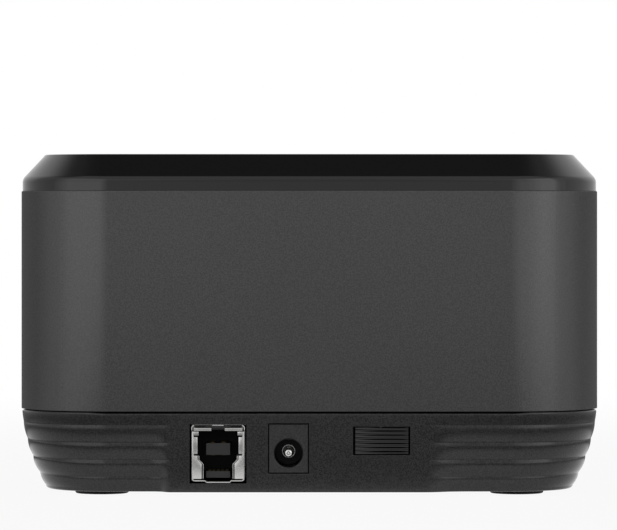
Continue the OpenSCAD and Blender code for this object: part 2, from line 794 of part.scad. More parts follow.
// Opening of the USB socket: wide above, narrow below, with slanted shoulders
module usb_opening(y0, y1, inset) {
    top = usb_z + usb_h - usb_open_top - inset;
    step = usb_z + usb_h - usb_step_z;
    low = usb_z + shell_t + turn_gap;
    wide = usb_open_half - inset;
    narrow = usb_low_half - inset;
    translate([usb_x, y1, 0])
        rotate([90, 0, 0])
            linear_extrude(y1 - y0)
                polygon([[-wide, top], [wide, top], [wide, step], [narrow, step - usb_step_h],
                    [narrow, low], [-narrow, low], [-narrow, step - usb_step_h], [-wide, step]]);
}

// Length of the socket's outline with rounded corners, drawn in all round
module usb_bar(inset, y0, y1) {
    translate([usb_x, y1, usb_z + usb_h / 2])
        rotate([90, 0, 0])
            linear_extrude(y1 - y0)
                rounded_square(usb_w - 2 * inset, usb_h - 2 * inset, usb_round - inset);
}

module usb_leg_places() {
    for (s = [-1, 1])
        translate([usb_x + s * (usb_w - shell_t) / 2, usb_front_y - 9, 0]) children();
}

// Folded sheet shell: front flanges with a spring finger cut in each, and a lip turned inwards
module usb_shell() {
    top = usb_z + usb_h;
    color(steel)
        difference() {
            union() {
                difference() {
                    usb_bar(0, usb_back_y, usb_front_y);
                    usb_bar(shell_t, usb_back_y - lap, usb_front_y - shell_t);
                }
                usb_opening(usb_front_y - usb_lip_l, usb_front_y - shell_t / 2, -shell_t);
                translate([usb_x, usb_front_y - 0.6, usb_z + shell_t / 2 - usb_bulge_h / 2])
                    cube([usb_bulge_w, 1.2, shell_t + usb_bulge_h], center = true);
                usb_leg_places()
                    block([-shell_t / 2, -1, board_z - 2 * usb_round], [shell_t / 2, 1, jack_tail_z]);
            }
            usb_opening(usb_front_y - usb_lip_l - lap, usb_front_y + lap, 0);
            for (s = [-1, 1], z = [2.6, 6.9])
                translate([usb_x + s * 5.05, usb_front_y, top - z])
                    cube([1.2, 2 * usb_lip_l + 1, 0.3], center = true);
            translate([usb_x, usb_front_y, top - shell_t - usb_open_top / 2])
                cube([usb_notch_w, 2 * usb_lip_l + 1, usb_open_top], center = true);
        }
}

// Plastic inside the shell, with a thick tongue and a thin one below it
module usb_insulator() {
    y1 = usb_front_y - shell_t - turn_gap;
    y0 = y1 - usb_cavity_l;
    color(dark_plastic)
        difference() {
            usb_bar(shell_t + turn_gap, usb_back_y, y1);
            usb_opening(usb_front_y - usb_lip_l - turn_gap, y1 + lap, -shell_t - turn_gap);
            difference() {
                usb_opening(y0, y1 + lap, 0);
                usb_tongue(usb_thick_top - usb_thick_h, usb_thick_top);
                usb_tongue(usb_thin_top - usb_thin_h, usb_thin_top);
            }
        }
}

module usb_tongue(z0, z1) {
    y1 = usb_front_y - shell_t - turn_gap;
    block([usb_x - usb_tongue_half, y1 - usb_cavity_l - lap, z0],
        [usb_x + usb_tongue_half, y1 - usb_cavity_l + usb_tongue_l, z1]);
}

// Contact strips on both faces of the thick tongue and on top of the thin one
module usb_contacts() {
    y0 = usb_front_y - shell_t - 9;
    y1 = usb_front_y - shell_t - 3.2;
    color(gold) {
        for (x = [-1.25, 1.25], z = [usb_thick_top, usb_thick_top - usb_thick_h - 0.2])
            block([usb_x + x - 0.5, y0, z], [usb_x + x + 0.5, y1, z + 0.2]);
        for (x = [-2:2])
            block([usb_x + x - 0.3, y0, usb_thin_top], [usb_x + x + 0.3, y1, usb_thin_top + 0.2]);
    }
}

module jack_leg_places() {
    translate([jack_x, jack_back_y - 0.4, 0]) children();
    translate([jack_x, jack_leaf_y, 0]) children();
}

// Power jack: a block with a round hole and a pocket for the leaf contact
module jack_housing() {
    color(dark_plastic)
        difference() {
            block([jack_x - jack_w / 2, jack_back_y, jack_z],
                [jack_x + jack_w / 2, jack_front_y, board_z]);
            translate([jack_x, jack_front_y + lap, jack_hole_z])
                rotate([90, 0, 0]) cylinder(r = jack_hole_r, h = jack_hole_l + lap);
            translate([jack_x, jack_front_y + 0.01, jack_hole_z])
                rotate([90, 0, 0])
                    cylinder(r1 = jack_hole_r + 0.4, r2 = jack_hole_r, h = 0.4);
            translate([jack_x, jack_back_y - lap, jack_hole_z])
                rotate([-90, 0, 0]) cylinder(r = jack_pin_r + turn_gap, h = jack_l);
            block([jack_x - 1.3, jack_front_y - jack_hole_l, jack_hole_z],
                [jack_x + 1.3, jack_front_y - 1.4, jack_hole_z + jack_hole_r + 0.9]);
            block([jack_x - 1.2, jack_leaf_y - 0.5, jack_hole_z],
                [jack_x + 1.2, jack_leaf_y + 0.5, board_z + lap]);
        }
}

// Centre pin with a domed tip and a flange, and the tail that goes up through the board
module jack_pin() {
    tip = jack_front_y - 0.7;
    color(steel) {
        translate([jack_x, jack_back_y - 0.8, jack_hole_z])
            rotate([-90, 0, 0])
                rotate_extrude()
                    polygon(concat([[0, 0], [jack_pin_r, 0]],
                        [[jack_pin_r, jack_l - jack_hole_l + 0.8 + fit_gap],
                         [jack_flange_r, jack_l - jack_hole_l + 0.8 + fit_gap],
                         [jack_flange_r, jack_l - jack_hole_l + 1.5],
                         [jack_pin_r, jack_l - jack_hole_l + 1.5]],
                        arc([0, tip - jack_back_y + 0.8 - jack_pin_r], jack_pin_r, 0, 90, 6)));
        block([jack_x - 1, jack_back_y - 0.8, jack_hole_z - 1],
            [jack_x + 1, jack_back_y - 0.05, jack_tail_z]);
    }
}

// Leaf contact: a bowed strip in the top of the hole, with a leg through the board
module jack_leaf() {
    z = jack_hole_z + jack_hole_r + 0.9;
    color(steel) {
        block([jack_x - 1, jack_front_y - jack_hole_l + 0.2, z - 0.35],
            [jack_x + 1, jack_front_y - 1.8, z - 0.05]);
        block([jack_x - 1, jack_leaf_y - 0.3, z - 0.35], [jack_x + 1, jack_leaf_y + 0.3, jack_tail_z]);
        translate([jack_x, jack_front_y - 3.6, z - 0.35])
            intersection() {
                translate([0, 0, 1.1]) rotate([0, 90, 0]) cylinder(r = 1.9, h = 2, center = true);
                translate([0, 0, -0.6]) cube([2, 4, 1.4], center = true);
            }
    }
}

module terminal_places() {
    for (x = [-5, 0, 5])
        translate([rocker_x + x, switch_y0 + 2.2, 0]) children();
}

// Switch body: a box whose round hollow lets the rocker swing
module switch_body() {
    color(dark_plastic)
        difference() {
            block([rocker_x - switch_half, switch_y0, rocker_z - rocker_open_h / 2 - 0.9],
                [rocker_x + switch_half, switch_y1, board_z]);
            translate([rocker_x, rocker_y, rocker_z])
                cylinder(r = rocker_bore_r, h = rocker_open_h, center = true);
            translate([rocker_x, rocker_y, rocker_z])
                cylinder(r = rocker_pin_r + turn_gap, h = rocker_open_h + 1, center = true);
        }
}

// Rocker: round ends about its pivot, a hollow face and ridges along it
module switch_rocker() {
    pitch = rocker_h / rocker_ridges;
    color(dark_plastic)
        translate([rocker_x, rocker_y, rocker_z])
            rotate([0, 0, rocker_tilt]) {
                difference() {
                    intersection() {
                        cylinder(r = rocker_r, h = rocker_h, center = true);
                        block([-rocker_r, -1.4, -rocker_h], [rocker_r, rocker_r, rocker_h]);
                    }
                    translate([0, rocker_pivot - rocker_hollow + rocker_face_r, 0])
                        rotate_extrude()
                            difference() {
                                translate([0, -rocker_h]) square([rocker_face_r + 0.22, 2 * rocker_h]);
                                for (i = [0:rocker_ridges - 1])
                                    translate([rocker_face_r + 0.36, (i - (rocker_ridges - 1) / 2) * pitch])
                                        circle(0.44 * pitch);
                            }
                }
                cylinder(r = rocker_pin_r, h = rocker_h + 2 * rocker_pin_l, center = true);
            }
}

module switch_terminals() {
    color(steel)
        terminal_places()
            translate([0, 0, board_z]) cylinder(r = 0.45, h = board_t + 0.9);
}

module bridge_chip() {
    color(dark_plastic) block([18, -9, board_top_z], [28, 1, board_top_z + 1.2]);
}

module crystal() {
    color(steel) {
        translate([30.5, -6, board_top_z]) {
            translate([0, -3.3, 0]) cylinder(r = 2.2, h = 3.4);
            translate([0, 3.3, 0]) cylinder(r = 2.2, h = 3.4);
            translate([-2.2, -3.3, 0]) cube([4.4, 6.6, 3.4]);
        }
    }
}

// Power inductor: a flat bobbin of two plates on a narrow core
module inductor() {
    color(rubber_black)
        translate([10.5, -10, board_top_z]) {
            cylinder(r = 3.6, h = 1);
            cylinder(r = 2.4, h = 3.8);
            translate([0, 0, 2.8]) cylinder(r = 3.6, h = 1);
        }
}

module capacitors() {
    color(steel)
        for (x = [-36, -28])
            translate([x, board_y1 - 4.5, board_top_z]) {
                cylinder(r = 3.6, h = 1.6);
                cylinder(r = 3.3, h = 2.4);
                translate([0, 0, 2.2]) cylinder(r = 3.6, h = 8);
            }
}

module status_lamp() {
    color(lamp_clear)
        translate([0, lamp_y, board_top_z + lamp_h / 2]) cube([3.2, 1.8, lamp_h], center = true);
}

// Light guide: up from the lamp, round a slanted corner and out through the front
module light_guide() {
    y0 = lamp_y - guide_r;
    y1 = lamp_y + guide_r;
    color(lamp_clear)
        difference() {
            union() {
                block([-guide_r, y0, board_top_z + lamp_h + 0.25], [guide_r, y1, guide_z + guide_r]);
                translate([0, -body_d / 2 + 0.4, guide_z])
                    rotate([-90, 0, 0]) cylinder(r = guide_r, h = y0 + lap + body_d / 2 - 0.4);
                translate([0, -body_d / 2 - 0.1, guide_z])
                    rotate([-90, 0, 0]) cylinder(r1 = guide_r - 0.5, r2 = guide_r, h = 0.5);
            }
            translate([0, y1, guide_z + guide_r])
                rotate([45, 0, 0]) cube([4 * guide_r, 2.4 * guide_r, 2.4 * guide_r], center = true);
        }
}

// Rubber foot with a rounded lower edge
module foot(sx, sy) {
    color(rubber_black)
        translate([sx * foot_x, sy * foot_y, 0])
            rotate_extrude()
                polygon(concat([[0, foot_show + foot_sink], [0, 0]],
                    arc([foot_r - foot_round, foot_round], foot_round, -90, 0, 4),
                    [[foot_r, foot_show + foot_sink]]));
}

module foot_front_left() {
    foot(-1, -1);
}

module foot_front_right() {
    foot(1, -1);
}

module foot_rear_left() {
    foot(-1, 1);
}

module foot_rear_right() {
    foot(1, 1);
}

// Screw with its head below its shank and a cross slot in the head
module screw(r, grip, top_r, top_h) {
    difference() {
        union() {
            cylinder(r = r, h = grip);
            translate([0, 0, -top_h]) cylinder(r = top_r, h = top_h);
        }
        for (a = [0, 90])
            rotate([0, 0, a])
                translate([0, 0, -top_h])
                    cube([1.3 * top_r, screw_slot_w, top_h], center = true);
    }
}

module case_screws() {
    color(steel)
        at_corners(foot_x, foot_y)
            translate([0, 0, head_seat_z])
                screw(case_screw_r, seam_z - head_seat_z + case_screw_grip, head_r, head_h);
}

module board_screws() {
    color(steel)
        board_places()
            translate([0, 0, board_top_z])
                rotate([180, 0, 0]) screw(board_screw_r, 8, 2, 1.5);
}

module bay_screws() {
    color(steel)
        at_corners(bay_screw_x, bay_screw_y)
            translate([0, 0, ear_z - ear_t]) screw(bay_screw_r, ear_t + bay_screw_grip, 2.1, 1.5);
}

echo(least_gap_between_spring_turns = turn_clearance(spring_path()));

top_cover();
body_sleeve();
base_tray();
bay_liner();
large_door();
small_door();
door_shaft();
large_door_spring();
small_door_spring();
circuit_board();
sata_housing();
sata_contacts();
usb_shell();
usb_insulator();
usb_contacts();
jack_housing();
jack_pin();
jack_leaf();
switch_body();
switch_rocker();
switch_terminals();
bridge_chip();
crystal();
inductor();
capacitors();
status_lamp();
light_guide();
foot_front_left();
foot_front_right();
foot_rear_left();
foot_rear_right();
case_screws();
board_screws();
bay_screws();
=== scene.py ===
import math

import bmesh
import bpy
import numpy as np
from mathutils.geometry import tessellate_polygon
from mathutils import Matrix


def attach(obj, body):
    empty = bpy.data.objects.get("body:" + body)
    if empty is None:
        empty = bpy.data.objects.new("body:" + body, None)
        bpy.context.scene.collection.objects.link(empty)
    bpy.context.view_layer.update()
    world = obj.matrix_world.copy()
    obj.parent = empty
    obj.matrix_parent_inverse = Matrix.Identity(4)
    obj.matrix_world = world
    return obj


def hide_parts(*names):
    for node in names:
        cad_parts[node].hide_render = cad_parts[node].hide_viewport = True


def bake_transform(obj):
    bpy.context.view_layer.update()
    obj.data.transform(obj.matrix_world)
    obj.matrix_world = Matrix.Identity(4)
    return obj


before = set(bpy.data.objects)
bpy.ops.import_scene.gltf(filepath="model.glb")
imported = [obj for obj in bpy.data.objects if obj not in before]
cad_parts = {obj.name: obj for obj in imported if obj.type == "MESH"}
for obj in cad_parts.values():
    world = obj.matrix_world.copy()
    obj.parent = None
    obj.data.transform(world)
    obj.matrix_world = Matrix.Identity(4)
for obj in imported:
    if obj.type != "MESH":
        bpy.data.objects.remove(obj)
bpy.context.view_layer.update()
scene = bpy.context.scene
mm = 0.001

# sizes that several pieces share, in millimetres
case = {
    "width": 135.0,
    "depth": 82.0,
    "corner": 21.0,
    "seamZ": 19.8,
    "sleeveTopZ": 70.6,
    "topZ": 79.1,
    "groove": (0.75, 2.1),  # depth of the wedge between base and sleeve, below and above
    "grooveHeight": 0.45,
    "lipOut": 2.35,  # locating lips inside the sleeve
    "lipIn": 3.6,
    "lipHeight": 2.5,
    "footPlace": (48.5, 23.0),  # of the feet, and of the pillars above them
    "cornerSteps": 40,
    "sideSteps": (24, 12),  # along X and along Y
}
halfStraightX = case["width"] / 2 - case["corner"]
halfStraightY = case["depth"] / 2 - case["corner"]
quarters = ((1, 1), (-1, 1), (-1, -1), (1, -1))
hold = 0.05  # from an edge to the points that keep the flat beside it flat


# meshes

# three t squared less two t cubed, with t held between 0 and 1
def smoothStep(t):
    t = np.clip(t, 0, 1)
    return t * t * (3 - 2 * t)


# arc as [outward, up] pairs: middle plus radius times the cosine and sine of an even run of angles
def arc(middle, radius, fromDeg, toDeg, steps):
    a = np.radians(np.linspace(fromDeg, toDeg, steps + 1))
    return np.column_stack([middle[0] + radius * np.cos(a), middle[1] + radius * np.sin(a)])


# surface from an array of shape rows, columns, 3, with a quad between neighbours; keep is a mask of cells
def gridPart(points, wrapRows=False, wrapCols=False, keep=None):
    rows, cols = points.shape[:2]
    r = np.arange(rows if wrapRows else rows - 1)[:, None]
    c = np.arange(cols if wrapCols else cols - 1)[None, :]
    nextR, nextC = (r + 1) % rows, (c + 1) % cols
    quads = np.stack([r * cols + c, nextR * cols + c, nextR * cols + nextC, r * cols + nextC], -1)
    return points.reshape(-1, 3), quads.reshape(-1, 4) if keep is None else quads[keep]


# flat fill of one outline with holes in it, each an array of points
def fillPart(*loops):
    triangles = tessellate_polygon([[tuple(p) for p in loop] for loop in loops])
    return np.concatenate(loops), np.array(triangles)


# profile of [radius, place] pairs turned about an axis through the middle; along is 0, 1 or 2 for X, Y or Z
def turnedPart(profile, middle, along=2, steps=48):
    a = np.linspace(0, 2 * np.pi, steps, endpoint=False)
    radius, place = np.asarray(profile, float).T
    points = np.zeros((len(radius), steps, 3)) + middle
    points[..., (along + 1) % 3] += radius[:, None] * np.cos(a)
    points[..., (along + 2) % 3] += radius[:, None] * np.sin(a)
    points[..., along] += place[:, None]
    return gridPart(points, wrapCols=True)


# profile with extra points close to both ends of its long runs, so that flat faces shade flat
def heldFlat(profile, near=hold, least=0.25):
    profile = np.asarray(profile, float)
    step = np.diff(profile, axis=0)
    length = np.linalg.norm(step, axis=1)
    share = (near / np.maximum(length, 1e-9))[:, None]
    place = np.arange(len(step))
    run = length > least
    points = np.concatenate([profile, (profile[:-1] + step * share)[run], (profile[1:] - step * share)[run]])
    order = np.concatenate([np.arange(len(profile)), place[run] + 0.3, place[run] + 0.6])
    return points[np.argsort(order)]


# outline drawn in along the bisector of the two edges at each corner
def drawnIn(loop, by):
    edge = np.roll(loop, -1, 0) - loop
    edge = edge / np.linalg.norm(edge, axis=1)[:, None]
    turn = np.sign(np.sum(loop[:, 0] * np.roll(loop[:, 1], -1) - np.roll(loop[:, 0], -1) * loop[:, 1]))
    normal = turn * np.column_stack([-edge[:, 1], edge[:, 0]])
    before = np.roll(normal, 1, 0)
    return loop + by * (normal + before) / (1 + np.sum(normal * before, 1))[:, None]


# plate of one outline in X and Z between two depths, its rear edge rounded over
def plateParts(loop, frontY, rearY, edge):
    a = np.radians(np.linspace(0, 90, 4))
    rows = [(0, frontY)] + [(edge * (1 - math.cos(t)), rearY - edge * (1 - math.sin(t))) for t in a]
    loops = [np.insert(drawnIn(loop, by), 1, y, axis=1) for by, y in rows]
    return [gridPart(np.array(loops), wrapCols=True), fillPart(loops[0]), fillPart(loops[-1])]


# bar of one outline in Y and Z between two places along X
def barParts(loop, x0, x1):
    ends = [np.insert(np.asarray(loop, float), 0, x, axis=1) for x in (x0, x1)]
    return [gridPart(np.array(ends), wrapCols=True), fillPart(ends[0]), fillPart(ends[1])]


# tube round a path: each ring is the path's point plus radius times a turning pair of normals
def tubePart(path, normal, radius, sides):
    tangent = np.gradient(path, axis=0)
    side = np.cross(tangent, normal)
    side /= np.linalg.norm(side, axis=1)[:, None]
    up = np.cross(side, tangent)
    up /= np.linalg.norm(up, axis=1)[:, None]
    a = np.linspace(0, 2 * np.pi, sides, endpoint=False)[None, :, None]
    points = path[:, None] + radius * (np.cos(a) * up[:, None] + np.sin(a) * side[:, None])
    return [gridPart(points, wrapCols=True), fillPart(points[0]), fillPart(points[-1])]


# one mesh in metres from parts of points and faces in millimetres
def makeMesh(name, parts, sharpDeg=35):
    points = np.concatenate([p for p, _ in parts]) * mm
    starts = np.cumsum([0] + [len(p) for p, _ in parts])
    faces = [f + s for (_, f), s in zip(parts, starts)]
    mesh = bpy.data.meshes.new(name)
    mesh.from_pydata(points.tolist(), [], [q for f in faces for q in f.tolist()])
    work = bmesh.new()
    work.from_mesh(mesh)
    bmesh.ops.remove_doubles(work, verts=work.verts, dist=0.004 * mm)
    bmesh.ops.dissolve_degenerate(work, edges=work.edges, dist=0.001 * mm)
    bmesh.ops.recalc_face_normals(work, faces=work.faces)
    work.to_mesh(mesh)
    work.free()
    mesh.polygons.foreach_set("use_smooth", np.ones(len(mesh.polygons), bool))
    mesh.set_sharp_from_angle(angle=math.radians(sharpDeg))
    return mesh


# piece that rides on a body, or, given bend, is left unattached with its transform baked in; it takes the place of the
# CAD nodes that it stands for
def addPiece(name, parts, material, body="dock", stands=(), sharpDeg=35, bend=None):
    mesh = makeMesh(name, parts, sharpDeg)
    mesh.materials.append(material)
    piece = bpy.data.objects.new(name, mesh)
    scene.collection.objects.link(piece)
    if bend:
        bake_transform(piece)
    else:
        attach(piece, body)
    if stands:
        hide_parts(*stands)
    print("piece", name, len(mesh.polygons), "faces")
    return piece


# shader nodes

class Wire:
    def __init__(self, tree, socket=None):
        self.tree, self.socket = tree, socket

    # any node: its type, its settings, its inputs by name or number, and the output to go on from
    def node(self, kind, settings=None, inputs=None, output=0):
        made = self.tree.nodes.new("ShaderNode" + kind)
        for key, value in (settings or {}).items():
            setattr(made, key, value)
        for key, value in (inputs or {}).items():
            if isinstance(value, Wire):
                self.tree.links.new(value.socket, made.inputs[key])
            else:
                made.inputs[key].default_value = value
        return Wire(self.tree, made.outputs[output])

    # one operation on two values or links, which each operator below names
    def maths(self, operation, a, b):
        return self.node("Math", {"operation": operation}, {0: a, 1: b})

    def __add__(self, other):
        return self.maths("ADD", self, other)

    def __radd__(self, other):
        return self.maths("ADD", other, self)

    def __sub__(self, other):
        return self.maths("SUBTRACT", self, other)

    def __rsub__(self, other):
        return self.maths("SUBTRACT", other, self)

    def __mul__(self, other):
        return self.maths("MULTIPLY", self, other)

    def __rmul__(self, other):
        return self.maths("MULTIPLY", other, self)

    def __truediv__(self, other):
        return self.maths("DIVIDE", self, other)

    def __pow__(self, other):
        return self.maths("POWER", self, other)

    # the smaller of high and the larger of low and this
    def clamp(self, low, high):
        return self.maths("MINIMUM", self.maths("MAXIMUM", self, low), high)

    def __abs__(self):
        return self.node("Math", {"operation": "ABSOLUTE"}, {0: self})

    # 0 below low, 1 above high, smooth between
    def rise(self, low, high):
        return self.node("MapRange", {"interpolation_type": "SMOOTHSTEP"}, {0: self, 1: low, 2: high})

    # one part of a vector: 0, 1 or 2 for X, Y or Z
    def part(self, k):
        return self.node("SeparateXYZ", {}, {0: self}, output=k)

    # shader into the output of its tree
    def ends(self, kind):
        out = self.tree.nodes.new("ShaderNodeOutput" + kind)
        self.tree.links.new(self.socket, out.inputs["Surface"])


# empty material, the wire that its nodes start from, and the place on the piece
def newTree(name):
    material = bpy.data.materials.new(name)
    material.use_nodes = True
    material.node_tree.nodes.clear()
    wire = Wire(material.node_tree)
    return material, wire, wire.node("TexCoord", output=3)


# one tone as red, green and blue
def grey(value):
    return (value, value, value, 1)


# fractal noise from 0 to 1, with scale as its cells a metre
def noise(wire, place, scale, detail=2.0, roughness=0.5):
    return wire.node("TexNoise", {}, {"Vector": place, "Scale": scale, "Detail": detail, "Roughness": roughness})


# a where the factor is 0, b where it is 1
def mixColour(wire, factor, a, b):
    return wire.node("Mix", {"data_type": "RGBA"}, {0: factor, 6: a, 7: b}, output=2)


# one principled shader on the output, tipped by a height pattern of so many millimetres
def finishMaterial(material, wire, height, depth, inputs):
    bump = wire.node("Bump", {}, {"Strength": 1.0, "Distance": depth * mm, "Height": height})
    wire.node("BsdfPrincipled", {}, {**inputs, "Normal": bump}).ends("Material")
    return material


# moulded plastic: a fine grain that tips the surface, and a slow drift of tone and gloss. A grained skin
# is seen side-on by its grain, so its gloss falls off there.
# Where only one face of a piece keeps the plastic's tone, face gives that face's lowest Y, its middle X and half
# width, and the tone given last is painted on the rest: painted shade for the dark inside of a deep hole.
def plastic(name, tone, gloss, grainSize, grainDepth, toneSpread, glossSpread, level=0.5, sideOn=0.0, face=None,
            holeShadeTone=0.0012):
    material, wire, place = newTree(name)
    grain = noise(wire, place, 1000 / grainSize, 2.0, 0.6)
    fleck = noise(wire, place, 620 / grainSize, 1.0, 0.5).rise(0.36, 0.64)
    drift = noise(wire, place, 28, 2.0, 0.5)
    shade = (fleck - 0.5) * toneSpread + (drift - 0.5) * (0.5 * toneSpread) + 0.5
    colour = mixColour(wire, shade.clamp(0, 1), grey(tone * (1 - toneSpread)), grey(tone * (1 + toneSpread)))
    # painted shade: behind the face and beside it the tone is painted near black, for the shade deep inside a hole
    if face:
        y, x, half = [value * mm for value in face]
        across = abs(place.part(0) - x)
        unshadedFace = place.part(1).rise(y - 0.2 * mm, y) * (1 - across.rise(half, half + 0.1 * mm))
        colour = mixColour(wire, unshadedFace, grey(holeShadeTone), colour)
    rough = gloss + (fleck - 0.5) * glossSpread + (drift - 0.5) * glossSpread
    if sideOn:
        rough = rough + wire.node("LayerWeight", {}, {"Blend": 0.5}, output=1).rise(0.05, 0.5) * sideOn
    return finishMaterial(material, wire, grain, grainDepth, {
        "Base Color": colour, "Roughness": rough.clamp(0.02, 1), "Specular IOR Level": level,
    })


# sheet or wire metal: drawn lines along one axis over a soft blotch
def metal(name, colour, gloss, stretch=(1, 1, 1), lineSize=0.25, lineDepth=0.002, spread=0.15):
    material, wire, place = newTree(name)
    drawn = wire.node("Mapping", {}, {"Vector": place, "Scale": stretch})
    lines = noise(wire, drawn, 1000 / lineSize, 3.0, 0.6)
    blotch = noise(wire, place, 350, 3.0, 0.6)
    low = [c * (1 - spread) for c in colour] + [1]
    high = [min(1, c * (1 + spread * 0.5)) for c in colour] + [1]
    tone = mixColour(wire, (blotch * 0.6 + lines * 0.4).clamp(0, 1), low, high)
    rough = (gloss + (blotch - 0.5) * 0.2 + (lines - 0.5) * 0.12).clamp(0.05, 1)
    return finishMaterial(material, wire, lines, lineDepth, {"Base Color": tone, "Metallic": 1.0, "Roughness": rough})


# circuit board: solder mask over raised tracks that run in two directions, with tinned vias
def boardFinish(name):
    material, wire, place = newTree(name)
    cells = wire.node("TexVoronoi", {"distance": "CHEBYCHEV"}, {"Vector": place, "Scale": 210.0}, output=0)
    tracks = wire.node("TexBrick", {}, {
        "Vector": place, "Scale": 160.0, "Mortar Size": 0.05, "Color1": grey(0.35), "Color2": grey(0.6),
        "Mortar": grey(1.0),
    })
    via = 1 - wire.node("TexVoronoi", {}, {"Vector": place, "Scale": 260.0}, output=0).rise(0.09, 0.11)
    track = wire.node("RGBToBW", {}, {0: tracks})
    lift = (track * 0.7 + cells * 0.3).clamp(0, 1)
    mask = mixColour(wire, lift, (0.004, 0.035, 0.014, 1), (0.012, 0.1, 0.042, 1))
    colour = mixColour(wire, via, mask, (0.62, 0.62, 0.6, 1))
    return finishMaterial(material, wire, lift, 0.03, {
        "Base Color": colour, "Roughness": 0.42 - via * 0.15, "Metallic": via,
    })


# clear moulding: a faint haze that tips the surface and dulls its gloss
def clearFinish(name, tint, gloss):
    material, wire, place = newTree(name)
    haze = noise(wire, place, 900, 2.0, 0.5)
    return finishMaterial(material, wire, haze, 0.004, {
        "Base Color": tint, "Roughness": (gloss + (haze - 0.5) * 0.1).clamp(0, 1),
        "Transmission Weight": 0.85, "IOR": 1.49,
    })


finishes = {
    "gloss_black": plastic("glossBlack", 0.005, 0.10, 0.6, 0.0003, 0.12, 0.02),
    "grained_grey": plastic("grainedGrey", 0.049, 0.15, 0.18, 0.003, 0.42, 0.01, level=0.5, sideOn=0.75),
    "base_grey": plastic("baseGrey", 0.023, 0.15, 0.18, 0.0015, 0.6, 0.03, level=0.36),
    "inner_black": plastic("innerBlack", 0.008, 0.5, 0.18, 0.006, 0.15, 0.12, level=0.3),
    # the USB socket and the jack keep their tone on the front face only; behind it they are painted near black,
    # painted shade of the deep hole
    "usb_black": plastic("usbBlack", 0.05, 0.4, 0.15, 0.004, 0.12, 0.10, level=0.1, face=(39.2, 21.0, 2.85)),
    "jack_black": plastic("jackBlack", 0.034, 0.4, 0.18, 0.004, 0.5, 0.10, level=0.2, face=(40.4, 4.8, 5.0)),
    "rocker_black": plastic("rockerBlack", 0.003, 0.1, 0.15, 0.001, 0.12, 0.04, level=0.42),
    "ferrite": plastic("ferriteGrey", 0.035, 0.6, 0.12, 0.012, 0.3, 0.15),
    "rubber": plastic("footRubber", 0.006, 0.75, 0.25, 0.02, 0.2, 0.12, level=0.2),
    "lamp_white": plastic("lampWhite", 0.75, 0.4, 0.3, 0.004, 0.04, 0.05),
    "board_green": boardFinish("boardGreen"),
    "clear_guide": clearFinish("clearGuide", (0.92, 0.95, 0.97, 1), 0.08),
    "steel": metal("brightSteel", (0.56, 0.56, 0.57), 0.28, (1, 6, 6)),
    "nickel": metal("nickelPlate", (0.58, 0.575, 0.565), 0.24, (5, 1, 1)),
    "can_aluminium": metal("drawnCan", (0.75, 0.75, 0.76), 0.3, (6, 6, 1)),
    "gold": metal("goldPlate", (0.83, 0.6, 0.24), 0.22, (4, 4, 1)),
    # a darkened copy of gold: painted shade for the contacts deep inside the USB socket
    "shaded_gold": metal("shadedGold", (0.07, 0.055, 0.03), 0.5, (4, 4, 1)),
}
print("finishes", len(finishes))


# case outline

# places strictly between two ends
def between(a, b, steps):
    return np.linspace(a, b, steps + 1)[1:-1]


# columns round the case, anticlockwise from +X: the corner middle as a share of its half distances, and
# the outward direction. The places along the sides are even, unless the rear's or the front's are given.
def walkRound(rear=None, front=None):
    turn = np.linspace(0, np.pi / 2, case["cornerSteps"] + 1)
    nearX, nearY = halfStraightX - hold, halfStraightY - hold
    evenX = between(halfStraightX, -halfStraightX, case["sideSteps"][0])
    evenY = between(halfStraightY, -halfStraightY, case["sideSteps"][1])
    rear = np.concatenate([[nearX], evenX if rear is None else rear, [-nearX]])
    front = np.concatenate([[-nearX], -evenX if front is None else front, [nearX]])
    left = np.concatenate([[nearY], evenY, [-nearY]])
    runs = [
        np.column_stack([rear / halfStraightX, np.ones(len(rear))]),
        np.column_stack([-np.ones(len(left)), left / halfStraightY]),
        np.column_stack([front / halfStraightX, -np.ones(len(front))]),
        np.column_stack([np.ones(len(left)), -left / halfStraightY]),
    ]
    middle, outward = [], []
    for k, (sx, sy) in enumerate(quarters):
        a = turn + k * np.pi / 2
        middle += [np.tile([sx, sy], (len(a), 1)), runs[k]]
        along = np.round([math.cos((k + 1) * math.pi / 2), math.sin((k + 1) * math.pi / 2)])
        outward += [np.column_stack([np.cos(a), np.sin(a)]), np.tile(along, (len(runs[k]), 1))]
    return np.concatenate(middle).astype(float), np.concatenate(outward)


# closed loop of a rounded rectangle through the columns: corner middle plus radius times direction
def loopAt(columns, width, depth, radius, z):
    middle, outward = columns
    half = np.array([width / 2 - radius, depth / 2 - radius])
    return np.column_stack([middle * half + radius * outward, np.full(len(middle), z)])


# outline of the case, drawn in all round
def outlineAt(columns, inset, z):
    return loopAt(columns, case["width"] - 2 * inset, case["depth"] - 2 * inset, case["corner"] - inset, z)


plainColumns = walkRound()

# top cover

cover = {
    "inset": 0.25,
    "groove": 0.02,
    "grooveHeight": 0.02,
    "bevelWidth": 5.35,
    "bevelHeight": 5.7,
    "bevelRound": 2.1,
    "topRound": 0.5,
    "lowerRound": 0.04,
    "wall": 5.6,
    "underZ": 76.9,
    "slotWidth": 104.0,
    "slotDepth": 31.6,
    "slotLead": 0.8,
    "slotCorner": 0.5,
    "slotRound": 0.25,
    "pillarRadius": 3.6,
    "bossPlace": (30.0, 21.3),
    "bossRadius": 2.6,
    "bossZ": 68.0,
    "screwBore": (0.43, 6.0),  # in pillars and bosses: its share of their radius, and its depth
    "postSink": 0.2,
}


